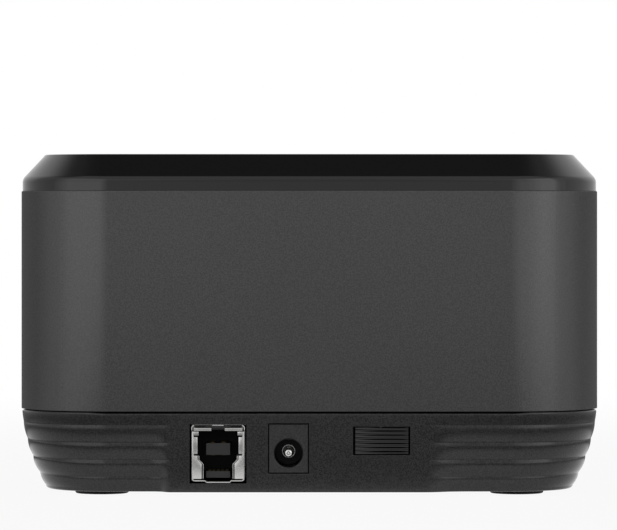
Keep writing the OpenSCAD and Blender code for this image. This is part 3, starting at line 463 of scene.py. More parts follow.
# rim, bevel and flat top as [inset, height] pairs, from the groove upwards
def coverProfile():
    z0, inset, top = case["sleeveTopZ"], cover["inset"], case["topZ"]
    turn = math.degrees(math.atan2(cover["bevelWidth"], cover["bevelHeight"]))
    tangent = cover["bevelRound"] * math.tan(math.radians(turn / 2))
    topTangent = cover["topRound"] * math.tan(math.radians((90 - turn) / 2))
    low, r, topR = cover["lowerRound"], cover["bevelRound"], cover["topRound"]
    grooveTop, depth = z0 + cover["grooveHeight"], inset + cover["groove"]
    flat = inset + cover["bevelWidth"] + topTangent
    profile = np.concatenate([
        [[-depth, z0], [-depth, grooveTop]],
        arc((-inset - low, grooveTop + low), low, -90, 0, 6),
        arc((-inset - r, top - cover["bevelHeight"] - tangent), r, 0, turn, 16),
        arc((-flat, top - topR), topR, turn, 90, 8),
        [[-flat - hold, top]],
    ])
    return heldFlat(profile) * [-1, 1]


# outlines joined from the rim over the top into the slot, and back along the underside; then the posts
def coverParts():
    top, lead, r = case["topZ"], cover["slotLead"], cover["slotRound"]

    # outline of the slot, grown all round
    def slotAt(grow, z):
        return loopAt(plainColumns, cover["slotWidth"] + 2 * grow, cover["slotDepth"] + 2 * grow,
                      cover["slotCorner"] + grow, z)

    rows = [outlineAt(plainColumns, inset, z) for inset, z in coverProfile()]
    mouth = heldFlat(np.concatenate([
        [[lead + r + hold, top]], arc((lead + r, top - r), r, 90, 135, 4),
        arc((r, top - lead - r * 0.6), r, 135, 180, 4), [[0, top - lead - r * 0.6 - hold]],
    ]))
    rows += [slotAt(grow, z) for grow, z in mouth]
    rows += [slotAt(0, cover["underZ"]), outlineAt(plainColumns, cover["wall"], cover["underZ"])]
    lipZ = case["sleeveTopZ"] - case["lipHeight"]
    inside = [(cover["wall"], case["sleeveTopZ"]), (case["lipIn"], case["sleeveTopZ"]), (case["lipIn"], lipZ),
              (case["lipOut"], lipZ), (case["lipOut"], case["sleeveTopZ"])]
    rows += [outlineAt(plainColumns, inset, z) for inset, z in inside]
    parts = [gridPart(np.array(rows), wrapRows=True, wrapCols=True)]
    rootZ = cover["underZ"] + cover["postSink"]
    for place, radius, z0 in ((case["footPlace"], cover["pillarRadius"], case["seamZ"]),
                              (cover["bossPlace"], cover["bossRadius"], cover["bossZ"])):
        bore, boreZ = radius * cover["screwBore"][0], z0 + cover["screwBore"][1]
        post = [(0, boreZ), (bore, boreZ), (bore, z0), (radius, z0), (radius, rootZ), (0, rootZ)]
        parts += [turnedPart(post, (sx * place[0], sy * place[1], 0), steps=32) for sx, sy in quarters]
    return parts


addPiece("caseCover", coverParts(), finishes["gloss_black"], stands=["top_cover"])

# body sleeve

sleeve = {
    "wall": 2.2,
    "topRound": 0.25,
    "lowRound": 0.1,
    "guideZ": 26.6,
    "guideBore": 1.6,
    "boreRound": 0.15,
    "collarRadius": 3.0,
    "collarEnd": 7.2,  # behind the front face
    "patchHalf": 3.6,  # square of the grid that the bore's ring takes the place of
    "patchSteps": 12,
}


# ring of quads between the square gap of a grid on the front wall and a round hole in it
def squareToRound(half, steps, radius, y, z):
    run = np.linspace(-half, half, steps + 1)[:-1]
    fixed = np.full(steps, half)
    square = np.concatenate([
        np.column_stack([run, -fixed]), np.column_stack([fixed, run]),
        np.column_stack([-run, fixed]), np.column_stack([-fixed, -run]),
    ])
    a = np.arctan2(square[:, 1], square[:, 0])
    circle = radius * np.column_stack([np.cos(a), np.sin(a)])
    share = np.linspace(0, 1, 4)[:, None, None]
    flat = square * (1 - share) + circle * share
    return np.stack([flat[..., 0], np.full(flat.shape[:2], y), flat[..., 1] + z], -1), a


# rounded-rectangle tube with a gap in its front wall, where rings carry the grid to the light guide's bore
def sleeveParts():
    half, steps, zc = sleeve["patchHalf"], sleeve["patchSteps"], sleeve["guideZ"]
    patch = np.linspace(-half, half, steps + 1)
    beside = between(half, halfStraightX, 9)
    columns = walkRound(front=np.concatenate([-beside[::-1], patch, beside]))
    low, r, z0, z1, wall = sleeve["lowRound"], sleeve["topRound"], case["seamZ"], case["sleeveTopZ"], sleeve["wall"]
    upward = np.concatenate([[z0 + low + hold], patch + zc, between(zc + half, z1 - r, 9), [z1 - r - hold]])
    outer = np.concatenate([
        arc((low, z0 + low), -low, 90, 0, 5), np.column_stack([np.zeros(len(upward)), upward]),
        arc((r, z1 - r), -r, 0, -90, 5),
    ])
    inner = np.concatenate([[[wall, z1]], np.column_stack([np.full(steps + 1, wall), patch[::-1] + zc]), [[wall, z0]]])
    profile = np.concatenate([outer, inner])
    points = np.array([outlineAt(columns, inset, z) for inset, z in profile])
    cells = (points + np.roll(points, -1, 0)) / 2
    cells = (cells + np.roll(cells, -1, 1)) / 2
    hole = (np.abs(cells[..., 0]) < half) & (np.abs(cells[..., 2] - zc) < half) & (cells[..., 1] < 0)
    parts = [gridPart(points, wrapRows=True, wrapCols=True, keep=~hole)]
    yFront = -case["depth"] / 2
    outside, a = squareToRound(half, steps, sleeve["guideBore"] + sleeve["boreRound"], yFront, zc)
    inside, _ = squareToRound(half, steps, sleeve["collarRadius"], yFront + wall, zc)
    ringShape = np.concatenate([
        arc((sleeve["guideBore"] + sleeve["boreRound"], sleeve["boreRound"]), sleeve["boreRound"], 270, 180, 4),
        [[sleeve["guideBore"], sleeve["collarEnd"]], [sleeve["collarRadius"], sleeve["collarEnd"]],
         [sleeve["collarRadius"], wall]],
    ])
    bore = np.stack([
        ringShape[:, :1] * np.cos(a), np.repeat(yFront + ringShape[:, 1:], len(a), 1),
        zc + ringShape[:, :1] * np.sin(a),
    ], -1)
    return parts + [gridPart(p, wrapCols=True) for p in (outside, inside, bore)]


addPiece("caseSleeve", sleeveParts(), finishes["grained_grey"], stands=["body_sleeve"])

# base tray

base = {
    "underZ": 1.2,
    "rimInset": 0.15,
    "rimRound": 0.35,
    "cornerLift": 0.28,  # how far the groove closes at the corners
    "taper": 5.9,
    "taperPower": 1.55,
    "endTaper": 0.5,  # share of the taper at the front and the rear
    "height": 18.6,
    "firstBand": 2.65,
    "band": 3.97,
    "bulge": 0.11,
    "lowerRound": 0.7,
    "panelRound": 0.3,
    "panelEnds": (-26.0, 31.5),  # switch side, USB side
    "fades": (12.0, 5.0),
    "panelWall": 2.2,
    "wall": 2.1,  # inside the creases
    "hollow": (-26.5, 29.5),  # where the panel is thin, and the width of the slope round it
    "hollowEdge": 1.8,
    "bandRows": 18,
    "floorZ": 3.2,
    "footSeat": 6.4,
    "footSink": 1.0,
    "cutRound": 0.12,
    "cutHold": 0.06,  # from an opening's lip to the points that keep the panel flat round it
    "cuts": {  # [x low, x high, z low, z high] of the openings in the rear panel
        "usb": (14.45, 27.55, 3.25, 16.9),
        "jack": (0.1, 9.5, 5.5, 17.1),
        "rocker": (-23.184, -10.066, 9.78, 16.32),
    },
}


# inset along the creases: a power of the share of the height below the parting line
def drawIn(z):
    share = np.clip((case["seamZ"] - np.asarray(z, float)) / base["height"], 0, None)
    return base["rimInset"] + base["taper"] * share ** base["taperPower"]


# skin at each height: a straight run between two creases, and the bow of the band that stands out from it
def bandRun(z, creases):
    i = np.clip(np.searchsorted(-creases, -z, side="right") - 1, 0, len(creases) - 2)
    tall = creases[i] - creases[i + 1]
    t = (creases[i] - z) / tall
    a, b = drawIn(creases[i]), drawIn(creases[i + 1])
    return a + (b - a) * t, 4 * base["bulge"] * (i + 1) * (tall / base["band"]) ** 2 * t * (1 - t)


# strength of the bands beside the panel: a soft edge, then a hollow sweep out to full depth
def bandStrength(t):
    t = np.clip(t, 0, 1)
    return (1 - (1 - t) ** 2) * smoothStep(t / 0.6)


# a sorted run of places with those too near the fixed ones left out
def placesWith(run, fixed, nearest):
    run = run[np.min(np.abs(run[:, None] - fixed[None, :]), axis=1) > nearest]
    return np.unique(np.round(np.concatenate([run, fixed]), 6))


# skin of creases and bows whose depth and taper change round the case, with gaps for the openings, their
# lips, the wall inside, and the underside
def baseParts():
    rimZ = case["seamZ"] - case["grooveHeight"]
    r, lowR = base["rimRound"], base["lowerRound"]
    first = rimZ - base["firstBand"]
    creases = np.array([rimZ] + [first - i * base["band"] for i in range(4)] + [base["underZ"] + lowR])
    grow, outwards = base["cutRound"], np.array([-1, 1, -1, 1])
    gaps = np.array(list(base["cuts"].values())) + grow * outwards
    beyond = gaps + base["cutHold"] * outwards
    gapX, gapZ = np.append(gaps[:, :2], beyond[:, :2]), np.append(gaps[:, 2:], beyond[:, 2:])

    runs = [np.linspace(a, b, base["bandRows"] + 1) for a, b in zip(creases[:-1], creases[1:])]
    bandZ = placesWith(np.concatenate(runs), np.concatenate([gapZ, creases]), 0.05)[::-1]
    bandZ = bandZ[bandZ <= rimZ - r + 1e-6]
    bandZ = np.concatenate([[rimZ - r], bandZ[bandZ < rimZ - r - 0.02]])
    (switchEnd, usbEnd), (switchFade, usbFade) = base["panelEnds"], base["fades"]
    fadeShare = np.linspace(0, 1, 33) ** 1.4
    switchX, usbX = switchEnd - switchFade * fadeShare, usbEnd + usbFade * fadeShare
    panelX = placesWith(np.linspace(switchEnd + 0.5, usbEnd - 0.5, 41), gapX, 0.3)
    outLeft = np.linspace(-halfStraightX, switchX[-1], 7)[1:-1]
    outRight = np.linspace(usbX[-1], halfStraightX, 8)[1:-1]
    rear = np.concatenate([outLeft, switchX[::-1], panelX, usbX, outRight])[::-1]
    middle, outward = walkRound(rear=rear)
    x = middle[:, 0] * halfStraightX
    onRear = (outward[:, 1] > 0.999) & (np.abs(x) < halfStraightX - 1e-6)
    pastPanel = np.where(x > 0, (x - usbEnd) / usbFade, (switchEnd - x) / switchFade)
    strength = np.where(onRear, bandStrength(pastPanel), 1.0)
    taperShare = strength * (base["endTaper"] + (1 - base["endTaper"]) * outward[:, 0] ** 2)

    rim = base["rimInset"]
    run, bow = bandRun(bandZ, creases)
    skin = np.maximum(0, rim + (run - rim)[:, None] * taperShare - bow[:, None] * strength)
    turn = np.radians(np.linspace(0, 90, 9))[1:]
    edgeZ = base["underZ"] + lowR * (1 - np.sin(turn))
    edge = skin[-1] + (base["panelRound"] + (lowR - base["panelRound"]) * taperShare) * (1 - np.cos(turn))[:, None]
    rimArc = arc((rim + r, rimZ - r), -r, -90, 0, 4)
    lipTop, lipOut, lipIn = case["seamZ"] + case["lipHeight"], case["lipOut"], case["lipIn"]
    upper = np.array([[lipIn, lipTop], [lipOut, lipTop], [lipOut, case["seamZ"]], [case["groove"][1], case["seamZ"]],
                      [case["groove"][0], rimZ]])
    upper = np.concatenate([upper, rimArc[:-1]])
    inset = np.concatenate([np.repeat(upper[:, :1], len(x), 1), skin, edge])
    height = np.concatenate([upper[:, 1], bandZ, edgeZ])[:, None]
    atCorner = smoothStep(np.abs(outward[:, 0] * outward[:, 1]) * 4)
    lifted = np.clip(1 - (rimZ - height) / base["firstBand"], 0, 1) * (height < rimZ + 1e-6)
    height = height + base["cornerLift"] * atCorner * lifted

    # corner middles plus the corner's radius, less the inset, outwards
    def surface(insets, heights):
        flat = middle * [halfStraightX, halfStraightY] + (case["corner"] - insets[..., None]) * outward
        return np.concatenate([flat, np.broadcast_to(heights, insets.shape)[..., None]], -1)

    # cells inside an opening of the rear panel
    def openCells(points):
        cells = (points[:-1] + points[1:]) / 2
        cells = (cells + np.roll(cells, -1, 1)) / 2
        found = np.zeros(cells.shape[:2], bool)
        for x0, x1, z0, z1 in gaps:
            found |= (cells[..., 0] > x0) & (cells[..., 0] < x1) & (cells[..., 2] > z0) & (cells[..., 2] < z1) \
                & (cells[..., 1] > 0)
        return found

    outer = surface(inset, height)
    inZ = bandZ[bandZ > base["floorZ"] + 0.02]
    inZ = np.concatenate([[lipTop, case["seamZ"] - 0.9], inZ[inZ < case["seamZ"] - 0.95], [base["floorZ"]]])
    behind = rim + base["panelWall"]
    wall = np.maximum(lipIn, drawIn(np.minimum(inZ, case["seamZ"])) + base["wall"])[:, None]
    outside = np.maximum(base["hollow"][0] - x, x - base["hollow"][1])
    panelShare = np.where(onRear, 1 - smoothStep(outside / base["hollowEdge"]), 0.0)
    inInset = wall + (behind - wall) * panelShare
    inInset[0] = lipIn
    inner = surface(inInset, inZ[:, None])
    parts = [gridPart(wall, wrapCols=True, keep=~openCells(wall)) for wall in (outer, inner)]

    # rounded lip and wall of each opening: the grid's own edge points, drawn in and carried through the panel
    faceY = case["depth"] / 2 - rim
    bend = np.radians(np.linspace(0, 90, 5))
    lipShape = np.concatenate([
        np.column_stack([grow * np.sin(bend), grow * (1 - np.cos(bend))]),
        [[grow, base["panelWall"]], [0, base["panelWall"]]],
    ])
    for x0, x1, z0, z1 in gaps:
        xs = panelX[(panelX > x0 - 1e-4) & (panelX < x1 + 1e-4)]
        zs = np.sort(bandZ[(bandZ > z0 - 1e-4) & (bandZ < z1 + 1e-4)])
        loop = np.concatenate([
            np.column_stack([xs[:-1], np.full(len(xs) - 1, z0)]),
            np.column_stack([np.full(len(zs) - 1, x1), zs[:-1]]),
            np.column_stack([xs[:0:-1], np.full(len(xs) - 1, z1)]),
            np.column_stack([np.full(len(zs) - 1, x0), zs[:0:-1]]),
        ])
        inward = np.column_stack([
            (np.abs(loop[:, 0] - x0) < 1e-4) * 1.0 - (np.abs(loop[:, 0] - x1) < 1e-4),
            (np.abs(loop[:, 1] - z0) < 1e-4) * 1.0 - (np.abs(loop[:, 1] - z1) < 1e-4),
        ])
        moved = loop[None] + lipShape[:, :1, None] * inward[None]
        deep = np.repeat(faceY - lipShape[:, 1:], len(loop), 1)
        parts.append(gridPart(np.stack([moved[..., 0], deep, moved[..., 1]], -1), wrapCols=True))

    # underside with a seat for each foot, and the floor inside
    (footX, footY), steps, deepZ = case["footPlace"], 64, base["underZ"] + base["footSink"]
    well = [(base["footSeat"], base["underZ"]), (base["footSeat"], deepZ), (0, deepZ)]
    wells = [turnedPart(well, (sx * footX, sy * footY, 0), steps=steps) for sx, sy in quarters]
    mouths = [points[:steps] for points, _ in wells]
    return parts + wells + [fillPart(outer[-1], *mouths), fillPart(inner[-1])]


addPiece("caseBase", baseParts(), finishes["base_grey"], stands=["base_tray"], sharpDeg=50)

# feet

foot = {"radius": 6.25, "height": 2.2, "edgeRound": 0.45, "dish": 0.15, "soleRim": 2.2}


# sole with a shallow dish, a rounded edge and a straight side
def footProfile():
    r, e = foot["radius"], foot["edgeRound"]
    share = np.linspace(0, 1, 9)
    sole = np.column_stack([(r - foot["soleRim"]) * share, foot["dish"] * (1 - share ** 2)])
    return np.concatenate([sole, arc((r - e, e), e, -90, 0, 10), [[r, foot["height"]], [0, foot["height"]]]])


for sideX, sideY, footNode in ((-1, -1, "foot_front_left"), (1, -1, "foot_front_right"),
                               (-1, 1, "foot_rear_left"), (1, 1, "foot_rear_right")):
    shape = turnedPart(footProfile(), (sideX * case["footPlace"][0], sideY * case["footPlace"][1], 0), steps=64)
    words = footNode.split("_")
    addPiece("foot" + words[1].title() + words[2].title(), [shape], finishes["rubber"], stands=[footNode])

# rocker of the power switch

rocker = {
    "pivot": (-16.5, 37.55, 13.05),
    "width": 12.2,
    "height": 6.1,
    "reach": 3.3,  # from the pivot to the ends of the face
    "hollow": 0.4,
    "endFade": (0.75, 0.4),  # share of the ridges that is lost at the two ends
    "pitch": 0.955,  # of the grooves, and the first one's height above the lower edge
    "firstGroove": 0.54,
    "crest": 0.087,
    "valley": 0.3,
    "backY": -1.4,
    "tiltDeg": 3.2,
    "pinRadius": 0.45,
    "pinLength": 0.42,
}


# face: a hollow arc along the rocker, with half-round ridges side by side across it
def rockerParts():
    half, reach, h = rocker["width"] / 2, rocker["reach"], rocker["height"]
    ends = math.hypot(half, reach)
    faceR = (half ** 2 + rocker["hollow"] ** 2) / (2 * rocker["hollow"])
    u = np.linspace(-half, half, 61)
    face = reach - rocker["hollow"] + faceR - np.sqrt(faceR ** 2 - u ** 2)
    v = np.linspace(-h / 2, h / 2, 103)
    swing = ((v + h / 2 - rocker["firstGroove"]) / rocker["pitch"]) % 1.0
    rise = np.sqrt(np.clip(1 - (2 * swing - 1) ** 2 * 0.96, 0, 1))
    rise = (rise - rise.min()) / (rise.max() - rise.min())
    ridge = -rocker["valley"] + (rocker["crest"] + rocker["valley"]) * rise
    lost = rocker["endFade"]
    depth = 1 - lost[0] * smoothStep(u / half * 0.9) - lost[1] * smoothStep(-u / half * 4 - 3)
    top = np.stack([
        np.repeat(u[:, None], len(v), 1), face[:, None] + depth[:, None] * ridge, np.repeat(v[None], len(u), 0),
    ], -1)
    startDeg = math.degrees(math.atan2(reach, half))
    stopDeg = math.degrees(math.asin(rocker["backY"] / ends))
    down = arc((0, 0), ends, startDeg - 3.5, stopDeg, 10)

    # rows straight across the rocker, one for each pair along it
    def column(pairs):
        pairs = np.asarray(pairs)
        return np.stack([np.repeat(pairs[:, :1], len(v), 1), np.repeat(pairs[:, 1:], len(v), 1),
                         np.repeat(v[None], len(pairs), 0)], -1)

    loop = np.concatenate([top, column(down), column(down[::-1] * [-1, 1])])
    cheeks = [fillPart(loop[:, k]) for k in (0, -1)]
    pin = rocker["pinRadius"]
    tall = h / 2 + rocker["pinLength"]
    pivot = turnedPart([(0, -tall), (pin, -tall), (pin, tall), (0, tall)], (0, 0, 0), steps=32)
    tilt = math.radians(rocker["tiltDeg"])
    spin = np.array([[math.cos(tilt), -math.sin(tilt), 0], [math.sin(tilt), math.cos(tilt), 0], [0, 0, 1]])
    parts = [gridPart(loop, wrapRows=True)] + cheeks + [pivot]
    return [(p @ spin.T + rocker["pivot"], f) for p, f in parts]


addPiece("switchRocker", rockerParts(), finishes["rocker_black"], "rocker", ["switch_rocker"], 40)

# USB shell

usb = {
    "x": 21.0,
    "topZ": 16.8,
    "lowZ": 3.7,
    "rearY": 40.6,
    "length": 17.0,
    "half": 6.2,
    "round": 0.9,
    "sheet": 0.3,
    "bulgeHalf": 3.0,
    "bulge": 0.35,
    "tab": (1.55, 5.62),  # rolled tabs at the top, from and to on each side of the middle
    "tabTopZ": 16.66,
    "tabSlope": 0.78,
    "tabLowZ": 15.32,
    "flange": [(4.48, 15.17), (6.0, 15.17), (6.0, 4.3), (3.78, 4.3), (3.78, 7.75), (4.73, 8.77), (4.73, 9.64),
               (5.56, 9.64), (5.56, 10.06), (4.73, 10.06), (4.73, 13.9), (5.6, 13.9), (5.6, 14.31), (4.48, 14.31)],
    "lip": [(4.5, 9.6), (4.34, 9.6), (4.34, 8.72), (3.36, 7.67), (3.36, 4.35), (3.52, 4.35), (3.52, 7.6), (4.5, 8.65)],
    "legY": (30.6, 32.6),
    "legZ": (15.0, 19.2),
    "standBack": (2.0, 0.9),  # of the can's own edge, beside the flanges and above the tabs
}


# sheet can: a rounded rectangle drawn in by the sheet's thickness, whose floor dips in the middle
def canLoop(inset):
    half, r = usb["half"] - inset, usb["round"] - inset
    lowZ, topZ = usb["lowZ"] + inset, usb["topZ"] - inset
    corners = [((half - r, lowZ + r), -90), ((half - r, topZ - r), 0), ((r - half, topZ - r), 90),
               ((r - half, lowZ + r), 180)]
    across, upward = between(r - half, half - r, 80), between(lowZ + r, topZ - r, 80)
    fixed = np.ones(79)
    sides = [np.column_stack([half * fixed, upward]), np.column_stack([-across, topZ * fixed]),
             np.column_stack([-half * fixed, upward[::-1]]), np.column_stack([across, lowZ * fixed])]
    bends = [arc(middle, r, a, a + 90, 10) for middle, a in corners]
    loop = np.concatenate([p for pair in zip(bends, sides) for p in pair])
    low = loop[:, 1] < lowZ + 0.01
    loop[:, 1] -= usb["bulge"] * low * smoothStep((usb["bulgeHalf"] - np.abs(loop[:, 0])) / 0.3)
    return loop


# can, a bent tab, a slit flange and the edge of its turned-in lip on each side, and the legs through the
# board. Beside the flanges the can's own edge stands back.
def usbShellParts():
    sheet, y1 = usb["sheet"], usb["rearY"]
    bend = sheet * 0.3
    section = np.concatenate([
        [[0, y1 - usb["length"]], [0, y1 - bend - 0.05]], np.array([[bend, y1 - bend]]) - arc((0, 0), bend, 0, -90, 4),
        np.array([[sheet - bend, y1 - bend]]) - arc((0, 0), bend, -90, -180, 4),
        [[sheet, y1 - bend - 0.05], [sheet, y1 - 3]],
    ])
    can = np.array([np.insert(canLoop(inset), 1, y, axis=1) for inset, y in section])
    out, z = np.abs(can[..., 0]), can[..., 2]
    beside = smoothStep((z - 4.3) / 0.15) * smoothStep((15.4 - z) / 0.15) * (out > 5.5)
    above = smoothStep((out - 1.4) / 0.15) * smoothStep((5.5 - out) / 0.15) * (z > 16)
    back = usb["standBack"][0] * beside + usb["standBack"][1] * above
    can[..., 1] = np.where(can[..., 1] > y1 - 1, can[..., 1] - back, can[..., 1])
    parts = [gridPart(can, wrapCols=True)]
    top, slope = usb["tabTopZ"], usb["tabSlope"]
    tab = np.concatenate([
        [[y1 - slope - 0.5, top], [y1 - slope, top]], arc((y1 - 0.27, top - slope - 0.1), 0.25, 40, 0, 4),
        arc((y1 - 0.17, usb["tabLowZ"] + 0.15), 0.15, 0, -110, 6),
        [[y1 - 0.3, top - slope - 0.1], [y1 - slope, top - 0.3], [y1 - slope - 0.5, top - 0.3]],
    ])
    flange, lip = np.array(usb["flange"]), np.array(usb["lip"])
    (legFront, legRear), (legLow, legTop) = usb["legY"], usb["legZ"]
    leg = [(legFront, legLow), (legRear, legLow), (legRear, legTop), (legFront, legTop)]
    for side in (-1, 1):
        parts += barParts(tab, side * usb["tab"][0], side * usb["tab"][1])
        parts += plateParts(flange * [side, 1], y1 - 0.25, y1 - 0.01, 0.05)
        parts += plateParts(lip * [side, 1], y1 - 1.3, y1 - 0.3, 0.03)
        parts += barParts(leg, side * (usb["half"] - sheet), side * usb["half"])
    return [(p + [usb["x"], 0, 0], f) for p, f in parts]


addPiece("usbShell", usbShellParts(), finishes["nickel"], stands=["usb_shell"], sharpDeg=40)

# pin of the power jack

jackPin = {
    "middle": (4.8, 0.0, 10.2),
    "tailY": 26.25,
    "tipY": 39.85,
    "radius": 1.0,
    "dome": 0.65,
    "dimple": 0.36,
    "collarY": (30.85, 31.5),
    "collarRadius": 1.52,
    "collarRim": 0.15,
    "tail": (3.8, 5.8, 26.25, 27.0, 9.2, 19.2),  # X, Y and Z from and to
}


# turned pin: a collar with a thin rim round a dish, then the shank and a domed tip with a dimple
def jackPinParts():
    r, tip, (c0, c1), rim = jackPin["radius"], jackPin["tipY"], jackPin["collarY"], jackPin["collarRadius"]
    domeR = jackPin["dome"]
    dome = arc((r - domeR, tip - domeR), domeR, 0, 80, 10)
    dimple = arc((0, tip + 0.1), jackPin["dimple"], 0, -90, 8)
    flat = rim - jackPin["collarRim"]
    shape = np.concatenate([
        [[0, jackPin["tailY"]], [r, jackPin["tailY"]], [r, c0], [rim, c0], [rim, c1 - 0.03], [rim - 0.03, c1],
         [flat + 0.02, c1], [flat, c1 - 0.02], [flat - 0.05, c1 - 0.4], [r, c1 - 0.5], [r, tip - domeR]], dome, dimple,
    ])
    x0, x1, y0, y1, z0, z1 = jackPin["tail"]
    tail = barParts([(y0, z0), (y1, z0), (y1, z1), (y0, z1)], x0, x1)
    return [turnedPart(shape, jackPin["middle"], along=1, steps=40)] + tail


addPiece("jackPin", jackPinParts(), finishes["nickel"], stands=["jack_pin"], sharpDeg=40)

# door springs

spring = {
    "axisY": 13.5,
    "axisZ": 75.8,
    "coilRadius": 1.6,
    "wireRadius": 0.25,
    "pitch": 1.05,
    "turns": 6,
    "lean": 35.0,
    "doorUnder": -0.71,  # height of the leg under the door, from the shaft's axis
    "doorLeg": 5.0,
    "wallLeg": 6.0,
    "places": {"largeDoorSpring": (40.3, "large_door"), "smallDoorSpring": (-7.2, "small_door")},
}


# path of one spring: a leg under the door, the helix round the shaft, and a leg down to the liner
def springPath():
    half = spring["pitch"] * spring["turns"] / 2
    start = math.radians(90 + spring["lean"])
    sweep = math.radians(360 * (spring["turns"] - 1) + 85 + spring["lean"])
    r = spring["coilRadius"]

    # direction of the wire where the coil has turned to an angle
    def heading(a):
        return np.array([0, math.sin(a), -math.cos(a)])

    out0 = np.array([0, math.cos(start), math.sin(start)])
    reach = (r * math.sin(start) - spring["doorUnder"]) / math.sin(math.radians(spring["lean"]))
    bendPoint = np.array([-half, 0, 0]) + r * out0 - reach * heading(start)
    t = np.linspace(0, 1, 25 * spring["turns"])[:, None]
    a = start - sweep * t
    coil = np.concatenate([half * (2 * t - 1), r * np.cos(a), r * np.sin(a)], 1)
    coilOut = np.concatenate([np.zeros_like(t), np.cos(a), np.sin(a)], 1)
    stop = start - sweep
    out1 = np.array([0, math.cos(stop), math.sin(stop)])
    lead = np.linspace(0, 1, 7)[:, None]
    corner = (1 - lead) ** 2 * (bendPoint + [0, -0.5, 0]) + 2 * lead * (1 - lead) * bendPoint \
        + lead ** 2 * (bendPoint + 0.5 * heading(start))
    up = np.array([0, 0, 1.0])
    cornerOut = (1 - lead) * up + lead * out0
    path = np.concatenate([[bendPoint + [0, -spring["doorLeg"], 0]], corner, coil,
                           [coil[-1] + spring["wallLeg"] * heading(stop)]])
    normal = np.concatenate([[up], cornerOut, coilOut, [out1]])
    return path, normal


path, normal = springPath()
half = spring["pitch"] * spring["turns"] / 2
for springName, (placeX, door) in spring["places"].items():
    parts = tubePart(path + [placeX, spring["axisY"], spring["axisZ"]], normal, spring["wireRadius"], 14)
    y, z = spring["axisY"] * mm, spring["axisZ"] * mm
    addPiece(springName, parts, finishes["steel"], stands=[door + "_spring"],
             bend=("dock", door, ((placeX + half) * mm, y, z), ((placeX - half) * mm, y, z)))

# CAD pieces that keep their shape: each gets its finish, and a fine bevel on its hard edges

kept = {
    "bay_liner": ("inner_black", 0.2),
    "large_door": ("gloss_black", 0.2),
    "small_door": ("gloss_black", 0.2),
    "door_shaft": ("steel", 0.1),
    "circuit_board": ("board_green", 0.1),
    "sata_housing": ("inner_black", 0.12),
    "sata_contacts": ("gold", 0.05),
    "usb_insulator": ("usb_black", 0.08),
    # the USB contacts take the darkened gold, painted shade of the socket's inside
    "usb_contacts": ("shaded_gold", 0.04),
    "jack_housing": ("jack_black", 0.1),
    "jack_leaf": ("nickel", 0.05),
    "switch_body": ("inner_black", 0.1),
    "switch_terminals": ("nickel", 0.05),
    "bridge_chip": ("inner_black", 0.1),
    "crystal": ("nickel", 0.2),
    "inductor": ("ferrite", 0.1),
    "capacitors": ("can_aluminium", 0.15),
    "status_lamp": ("lamp_white", 0.1),
    "light_guide": ("clear_guide", 0.1),
    "case_screws": ("steel", 0.1),
    "board_screws": ("steel", 0.1),
    "bay_screws": ("steel", 0.1),
}
for nodeName, (finish, bevel) in kept.items():
    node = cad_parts[nodeName]
    node.data.materials.clear()
    node.data.materials.append(finishes[finish])
    weld = node.modifiers.new("weld", "WELD")
    weld.merge_threshold = 0.002 * mm
    soft = node.modifiers.new("edge", "BEVEL")
    soft.width, soft.segments, soft.limit_method = bevel * mm, 2, "ANGLE"
    soft.angle_limit, soft.harden_normals, soft.use_clamp_overlap = math.radians(40), True, True
print("kept nodes", len(kept))

# floor, lights and camera

stage = {
    "floorSize": 8.0,
    "floorTone": 0.22,
    "floorLit": 0.07,  # share of the floor's own shading that shows near the object
    "litReach": (0.12, 0.6),  # from the middle, where that share fades out
    "strip": 0.97,  # the same share in reflections, on a strip straight out from the object
    "stripStart": (0.055, 0.11),
    "stripHalf": (0.16, 0.3),
    "stripFar": ((0.4, 1.3), (1.2, 3.5)),  # where it pales, by stripPale each time
    "stripPale": 0.35,
    # radiance of the room: at the horizon, above it, higher up, at the sides, behind the object and overhead
    "horizon": 0.74,
    "lowWall": 0.6,
    "highWall": 0.75,
    "sides": (0.78, 0.22),  # low and high
    "sideDim": (0.62, 0.92),  # sines of the heights where the sides change, and where the ceiling begins
    "ceilingEdge": (0.92, 0.985),
    "sideTilt": 0.1,  # what the side on the right of the picture has more than the middle
    "backdrop": 0.36,  # added to the sides
    "ceiling": 0.07,
    # soft boxes: the angles from the line of sight where each begins and ends, and its radiance. They overlap
    # so that each side fades out at both ends
    "sideLights": [
        (4.0, 76.0, 0.2), (6.5, 70.0, 0.2), (9.0, 64.0, 0.21), (11.5, 58.0, 0.21),
        (-79.0, -5.0, 0.24), (-75.0, -9.0, 0.24), (-71.0, -14.0, 0.17), (-68.0, -26.0, 0.22), (-65.0, -34.0, 0.25),
        (-62.0, -41.0, 0.22), (-63.0, -9.5, 0.22), (-61.0, -24.0, 0.12),
    ],
    "sideDistance": 1.25,
    "sideMiddleZ": 0.4,
    "sideTargetZ": 0.2,
    "sideHeight": 1.3,
}


